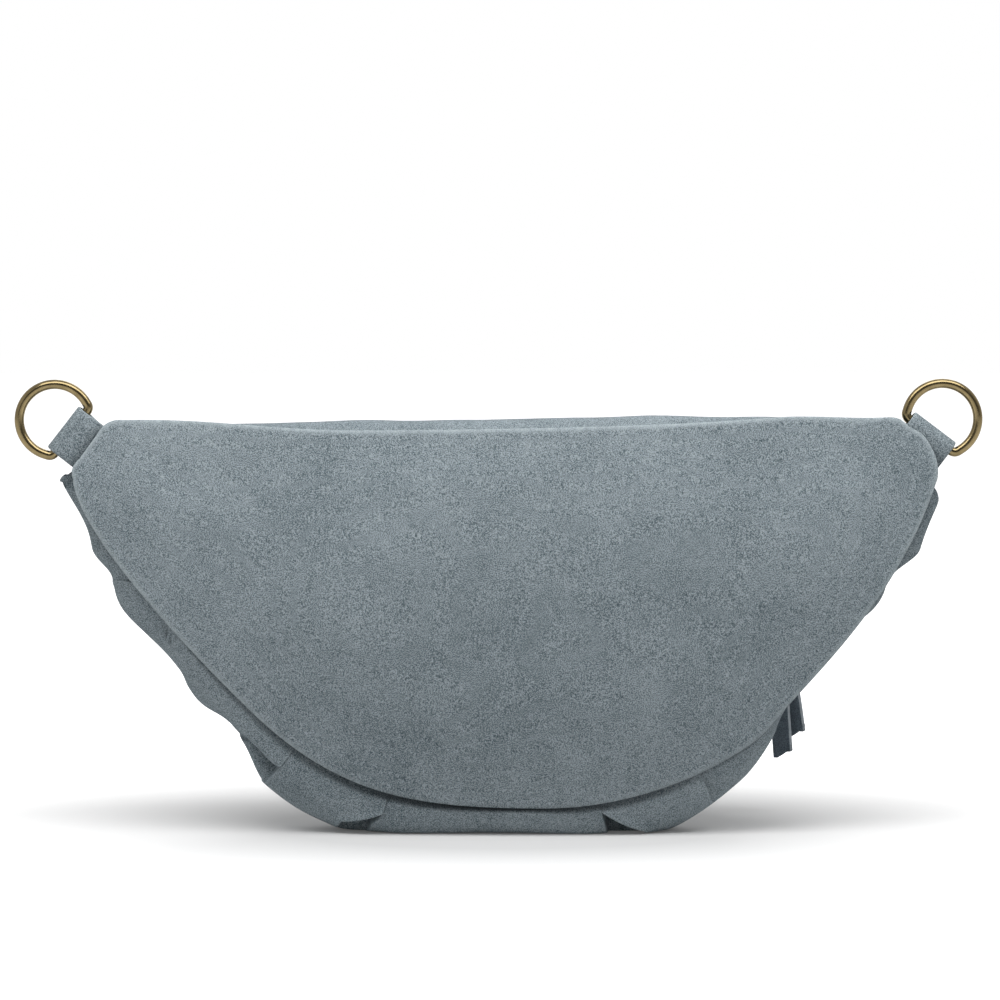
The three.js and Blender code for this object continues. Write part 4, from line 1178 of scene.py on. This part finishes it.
def thong():
    bar = zip_point(SLIDER_ANGLE, 0.0, BAR_NORMAL)
    outward = vec(sin(SLIDER_ANGLE), cos(SLIDER_ANGLE), 0)
    along = vec(cos(SLIDER_ANGLE), -sin(SLIDER_ANGLE), 0)
    up = vec(0, 0, 1)
    down = outward * sin(THONG_LEAN) - up * cos(THONG_LEAN)
    face = outward * cos(THONG_LEAN) + up * sin(THONG_LEAN)
    loop_radius = BRIDGE_BAR * sqrt(0.5) + FIT_GAP + THONG_THICK / 2
    apart = THONG_THICK / 2 + FIT_GAP

    def tail(side, length):
        reach = np.linspace(length, 0, 40)[:-1]
        bend = smooth(reach, THONG_BEND_FROM, length)
        off = lerp(loop_radius, apart, smooth(reach, 0, THONG_LOOP_RUN)) + THONG_LIFT * max(side, 0) * bend
        fan = THONG_FAN * smooth(reach, 0, THONG_INNER)
        sway = THONG_SWAY * smooth(reach, THONG_SWAY_FROM, THONG_INNER)
        centres = bar + np.outer(reach, down) + side * np.outer(off, face)
        centres = centres + np.outer(side * fan + sway, along)
        twist = THONG_TWIST * bend
        faces_out = side * (np.outer(np.cos(twist), face) + np.outer(np.sin(twist), along))
        wide = np.outer(np.cos(twist), along) - np.outer(np.sin(twist), face)
        return centres, faces_out, wide

    inner, outer = tail(-1, THONG_INNER), tail(1, THONG_OUTER)
    angles = np.linspace(0, pi, 21)
    arch = -np.outer(np.cos(angles), face) - np.outer(np.sin(angles), down)
    loop = (bar + arch * loop_radius, arch, np.tile(along, (len(angles), 1)))
    centres, faces_out, wide = [np.vstack([a, b, c[::-1]]) for a, b, c in zip(inner, loop, outer)]
    section = strip_section(THONG_WIDTH, THONG_THICK, THONG_CORNER)
    share = section[0][:, 0] / (THONG_WIDTH / 2)
    cut = np.zeros((len(centres), len(share), 3))
    cut[[0, -1]] = np.outer(-THONG_SLANT / 2 * share - THONG_ROUND * share**4, down)
    return swept("thong_leather", centres, wide, faces_out, section, THONG_FINISH, THONG_WEAR, cut)


# Lining, stiffener and slip pocket inside.
INSIDE_GRID = (90, 50)
INSIDE_SHARE = 0.93
INSIDE_HALF_WIDTH = 134
LINING_LOW = FIT_GAP + STIFFENER + FIT_GAP
INSIDE_LOW = LINING_LOW + LINING + FIT_GAP
POCKET_HALF_WIDTH = 62
POCKET_LOW = 48
POCKET_HIGH = 118
POCKET_SLACK = 1.6
POCKET_SIDE_RUN = 25
POCKET_RISE = 40
POCKET_STITCH_INSET = 2
POCKET_STITCH_LIFT = 0.1
HEM_THICK = 0.7
HEM_SPAN = (9, 8.4)


def back_sheet(name, low, thick, material):
    x, z = half_moon(*INSIDE_GRID, INSIDE_SHARE, INSIDE_HALF_WIDTH)
    return sheet(name, stack(x, low, z), stack(x, low + thick, z), material)


def slip_pocket():
    x = np.linspace(-POCKET_HALF_WIDTH, POCKET_HALF_WIDTH, 70)[:, None]
    x, z = np.broadcast_arrays(x, np.linspace(POCKET_LOW, POCKET_HIGH, 40)[None, :])
    held = smooth(POCKET_HALF_WIDTH - np.abs(x), 0, POCKET_SIDE_RUN)
    held = held * smooth(z, POCKET_LOW, POCKET_LOW + POCKET_RISE)
    hem = HEM_THICK * smooth(z, POCKET_HIGH - HEM_SPAN[0], POCKET_HIGH - HEM_SPAN[1])
    depth = INSIDE_LOW + LINING + POCKET_SLACK * held + hem
    return sheet("slip_pocket_cloth", stack(x, depth - LINING - hem, z), stack(x, depth, z), LINING_FINISH)


def pocket_stitches():
    inset = POCKET_STITCH_INSET
    side, low, high = POCKET_HALF_WIDTH - inset, POCKET_LOW + inset, POCKET_HIGH - inset / 2
    corners = [(-side, high), (-side, low), (side, low), (side, high)]
    line = np.vstack([np.linspace(a, b, 60)[:-1] for a, b in zip(corners, corners[1:])])
    points = stack(line[:, 0], INSIDE_LOW + LINING + POCKET_STITCH_LIFT, line[:, 1])
    return stitches("pocket_stitches", points, np.tile([0.0, 1.0, 0.0], (len(points), 1)))


LINING_SEAM = 2
LINING_MOST = 0.45
FRONT_LINING_END = 0.9
FRONT_LINING_LOW = 0.05
FRONT_LINING_WAVES = (1.5, 24, 6.6)
BASE_ROOM = 13
BASE_ROOM_FADE = (0.25, 0.5)
LINING_FLOOR = 1.5
YOKE_LINING_END = 0.81
YOKE_LINING_HIGH = 0.92
YOKE_LINING_WAVES = (1.2, 22, 8.8)


def tape_share(u, handle):
    return np.minimum(LINING_MOST, (TAPE_OUTER + LINING_SEAM - lip_edge(u)) / (END_SPEED * handle))


def front_lining():
    u = np.linspace(-FRONT_LINING_END, FRONT_LINING_END, 140)[:, None]
    s = lerp(FRONT_LINING_LOW, 1 - tape_share(u, lower_handle(u)), np.linspace(0, 1, 60)[None, :])
    u = np.broadcast_to(u, s.shape)
    base = lower_point(u, s)
    slack, size, seed = FRONT_LINING_WAVES
    depth = SUEDE + LINING_SLACK + BASE_ROOM * (1 - smooth(s, *BASE_ROOM_FADE))
    depth = depth + slack * (1 + waves(base, size, seed))
    normals = surface_normals(lower_point, u, s)
    outer = base - normals * depth[..., None]
    inner = outer - normals * LINING
    for grid in (outer, inner):
        grid[..., 2] = np.maximum(grid[..., 2], SUEDE + LINING_FLOOR)
        grid[..., 1] = np.maximum(grid[..., 1], INSIDE_LOW)
    inner[..., 2] += LINING * (inner[..., 2] <= outer[..., 2] + 1e-6)
    return sheet("front_lining_cloth", outer, inner, LINING_FINISH)


def yoke_lining():
    u = np.linspace(-YOKE_LINING_END, YOKE_LINING_END, 120)[:, None]
    s = lerp(tape_share(u, yoke_handle(u)), YOKE_LINING_HIGH, np.linspace(0, 1, 36)[None, :])
    u = np.broadcast_to(u, s.shape)
    base = yoke_point(u, s)
    slack, size, seed = YOKE_LINING_WAVES
    depth = SUEDE + LINING_SLACK + slack + slack * waves(base, size, seed)
    normals = surface_normals(yoke_point, u, s)
    outer = base - normals * depth[..., None]
    low = np.maximum(rim_depth(outer[..., 0], outer[..., 2]), INSIDE_LOW)
    outer[..., 1] = np.maximum(outer[..., 1], low + LINING)
    inner = outer - normals * LINING
    inner[..., 1] = np.maximum(inner[..., 1], low)
    return sheet("yoke_lining_cloth", outer, inner, LINING_FINISH)


# Each piece with the solid it replaces, its slot and its body.
LIFT_DEPTHS = (33, 54)
LIFT_START, LIFT_END = [(0, (depth - ORIGIN_DEPTH) * MM, ZIP_HEIGHT * MM) for depth in LIFT_DEPTHS]
PIECES = (
    (back_panel(), "back_panel", "suede", "bag"),
    (lower_panel(), "front_lower_panel", "suede", "bag"),
    (tab(-1, "tab_left_suede"), "tab_left", "suede", "bag"),
    (tab(1, "tab_right_suede"), "tab_right", "suede", "bag"),
    (yoke(), "front_yoke", "suede", "mouth_lip"),
    (back_sheet("back_lining_cloth", LINING_LOW, LINING, LINING_FINISH), "back_lining", "lining", "bag"),
    (slip_pocket(), "slip_pocket", "lining", "bag"),
    (front_lining(), "front_lining", "lining", "bag"),
    (yoke_lining(), "yoke_lining", "lining", "mouth_lip"),
    (zip_tape(-1, "tape_lower_cloth"), "zip_tape_lower", "zip_tape", "bag"),
    (end_tape(1, "end_tape_open_cloth"), "zip_end_tape_open", "zip_tape", "bag"),
    (end_tape(-1, "end_tape_closed_cloth"), "zip_end_tape_closed", "zip_tape", "bag"),
    (zip_tape(1, "tape_upper_cloth"), "zip_tape_upper", "zip_tape", "mouth_lip"),
    (teeth(-1, "teeth_lower_brass", TOOTH_PITCH / 2), "zip_teeth_lower", "antique_brass", "bag"),
    (teeth(1, "teeth_upper_brass", 0), "zip_teeth_upper", "antique_brass", "mouth_lip"),
    (ring(-1, "ring_left_brass"), "d_ring_left", "antique_brass", "ring_left"),
    (ring(1, "ring_right_brass"), "d_ring_right", "antique_brass", "ring_right"),
    (thong(), "zip_pull_thong", "thong_leather", "pull"),
    (
        back_sheet("interlining_felt", FIT_GAP, STIFFENER, FELT_FINISH),
        "back_interlining",
        "interlining",
        "bag",
    ),
    (lip_stitches("lower_lip_stitches", lower_point, lower_handle, 1), None, None, "bag"),
    (pocket_stitches(), None, None, "bag"),
    (lip_stitches("yoke_lip_stitches", yoke_point, yoke_handle, 0), None, None, "mouth_lip"),
)
for made, node, slot, body in PIECES:
    if node:
        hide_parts(node)
    if body == "mouth_lip":
        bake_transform(made)
        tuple(LIFT_START)
        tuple(LIFT_END)
    else:
        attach(made, body)

# Small metal parts that keep their solids, with their edges eased.
EDGE_WIDTH = 0.15
EDGE_ANGLE = radians(40)
for node in ("zip_slider", "zip_bottom_stop", "zip_top_stop_upper", "zip_top_stop_lower"):
    metal = frame["nodes"][node]
    metal.material_slots[0].material = BRASS_FINISH
    edges = metal.modifiers.new("edges", "BEVEL")
    edges.width = EDGE_WIDTH * MM
    edges.segments = 2
    edges.limit_method = "ANGLE"
    edges.angle_limit = EDGE_ANGLE


# Floor, light and camera.
CAMERA_ELEVATION = radians(5)
CAMERA_DISTANCE = 1.6
SENSOR = 36
FRAME_WIDTH = 0.375
AIM = Vector((-1.9 * MM, -19 * MM, 126.9 * MM))
WHITE = (1, 1, 1, 1)
FLOOR_GREY = (0.6, 0.6, 0.6, 1)
FLOOR_SIZE = 6
# The floor's painted glow fades out in this shape round the bag, painting shade there beside its real
# shadow.
SHADOW_SHAPE = (0.55, 1, 0)
SHADOW_FADE = (0.05, 0.19, 0.06, 1.0)
SOFT_LIGHT = 0.36
MIRROR_FADE = (-0.9, 0.3, 0.15, 1.0)
# Place, aim, size and power of each lamp.
LAMPS = {
    "key": ((0.03, -0.23, 0.51), (0, 0, 0.1), (0.8, 0.25), 3.45),
    "fill": ((-0.9, -0.6, 0.5), (0, 0, 0.08), (0.8, 0.8), 1.0),
    "back": ((0.2, 0.9, 0.9), (0, 0, 0.1), (0.8, 0.8), 4),
}


def floor():
    """White where the camera looks, from a painted glow; round the bag the glow fades out, so there the
    floor darkens, partly in the bag's shadow and partly by painted shade.
    """
    bpy.ops.mesh.primitive_plane_add(size=FLOOR_SIZE)
    made = bpy.context.object
    made.name = "floor"
    material, tree, shader = new_material(
        "floor_white", Roughness=1.0, Base_Color=FLOOR_GREY, Specular_IOR_Level=0.0
    )
    path = make(tree, "LightPath").outputs
    seen = reckon(tree, "MAXIMUM", path["Is Camera Ray"], path["Is Glossy Ray"])
    seen = reckon(tree, "MAXIMUM", seen, path["Is Transmission Ray"])
    flat = make(tree, "VectorMath", {0: own_place(tree), 1: SHADOW_SHAPE}, operation="MULTIPLY")
    away = make(tree, "VectorMath", {0: flat.outputs[0]}, operation="LENGTH").outputs["Value"]
    level = ranged(tree, away, *SHADOW_FADE)
    glow = make(tree, "Emission", {"Strength": reckon(tree, "MULTIPLY", seen, level)})
    both = make(tree, "AddShader", {0: shader.outputs[0], 1: glow.outputs[0]})
    tree.links.new(both.outputs[0], tree.nodes["Material Output"].inputs["Surface"])
    made.data.materials.append(material)
    made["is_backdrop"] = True


def mixed(tree, factor, first, second):
    return make(tree, "MixShader", {0: factor, 1: first, 2: second}).outputs[0]


def world():
    """White where the camera looks, an even soft light elsewhere, and a darker front for the metal."""
    made = bpy.data.worlds.new("studio")
    bpy.context.scene.world = made
    made.use_nodes = True
    tree = made.node_tree
    tree.nodes.clear()
    path = make(tree, "LightPath").outputs
    direction = make(tree, "TexCoord").outputs["Generated"]
    parts = make(tree, "SeparateXYZ", {0: direction}).outputs
    levels = (SOFT_LIGHT, ranged(tree, parts["Y"], *MIRROR_FADE), 1.0)
    lights = [make(tree, "Background", {"Color": WHITE, "Strength": level}) for level in levels]
    soft, mirrored, white = [light.outputs[0] for light in lights]
    seen = reckon(tree, "MAXIMUM", path["Is Camera Ray"], path["Is Transmission Ray"])
    reflected = mixed(tree, path["Is Glossy Ray"], soft, mirrored)
    make(tree, "OutputWorld", {"Surface": mixed(tree, seen, reflected, white)})


def lamp(name, place, aim, size, power):
    light = bpy.data.lights.new(name, "AREA")
    light.shape = "RECTANGLE"
    light.size, light.size_y = size
    light.energy = power
    made = placed(name, light)
    made.location = place
    made.rotation_euler = (Vector(aim) - Vector(place)).to_track_quat("-Z", "Y").to_euler()


def camera():
    view = bpy.data.cameras.new("camera")
    view.sensor_width = SENSOR
    view.lens = SENSOR * CAMERA_DISTANCE / FRAME_WIDTH
    made = placed("camera", view)
    back = Vector((0, -cos(CAMERA_ELEVATION), sin(CAMERA_ELEVATION)))
    made.location = AIM + back * CAMERA_DISTANCE
    made.rotation_euler = (-back).to_track_quat("-Z", "Y").to_euler()
    bpy.context.scene.camera = made


floor()
world()
for name, values in LAMPS.items():
    lamp(name, *values)
camera()
bpy.context.scene.view_settings.view_transform = "Standard"

boxes = {"cad": CAD_BOX, "visual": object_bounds()}
{key: [list(corner) for corner in box] for key, box in boxes.items()}
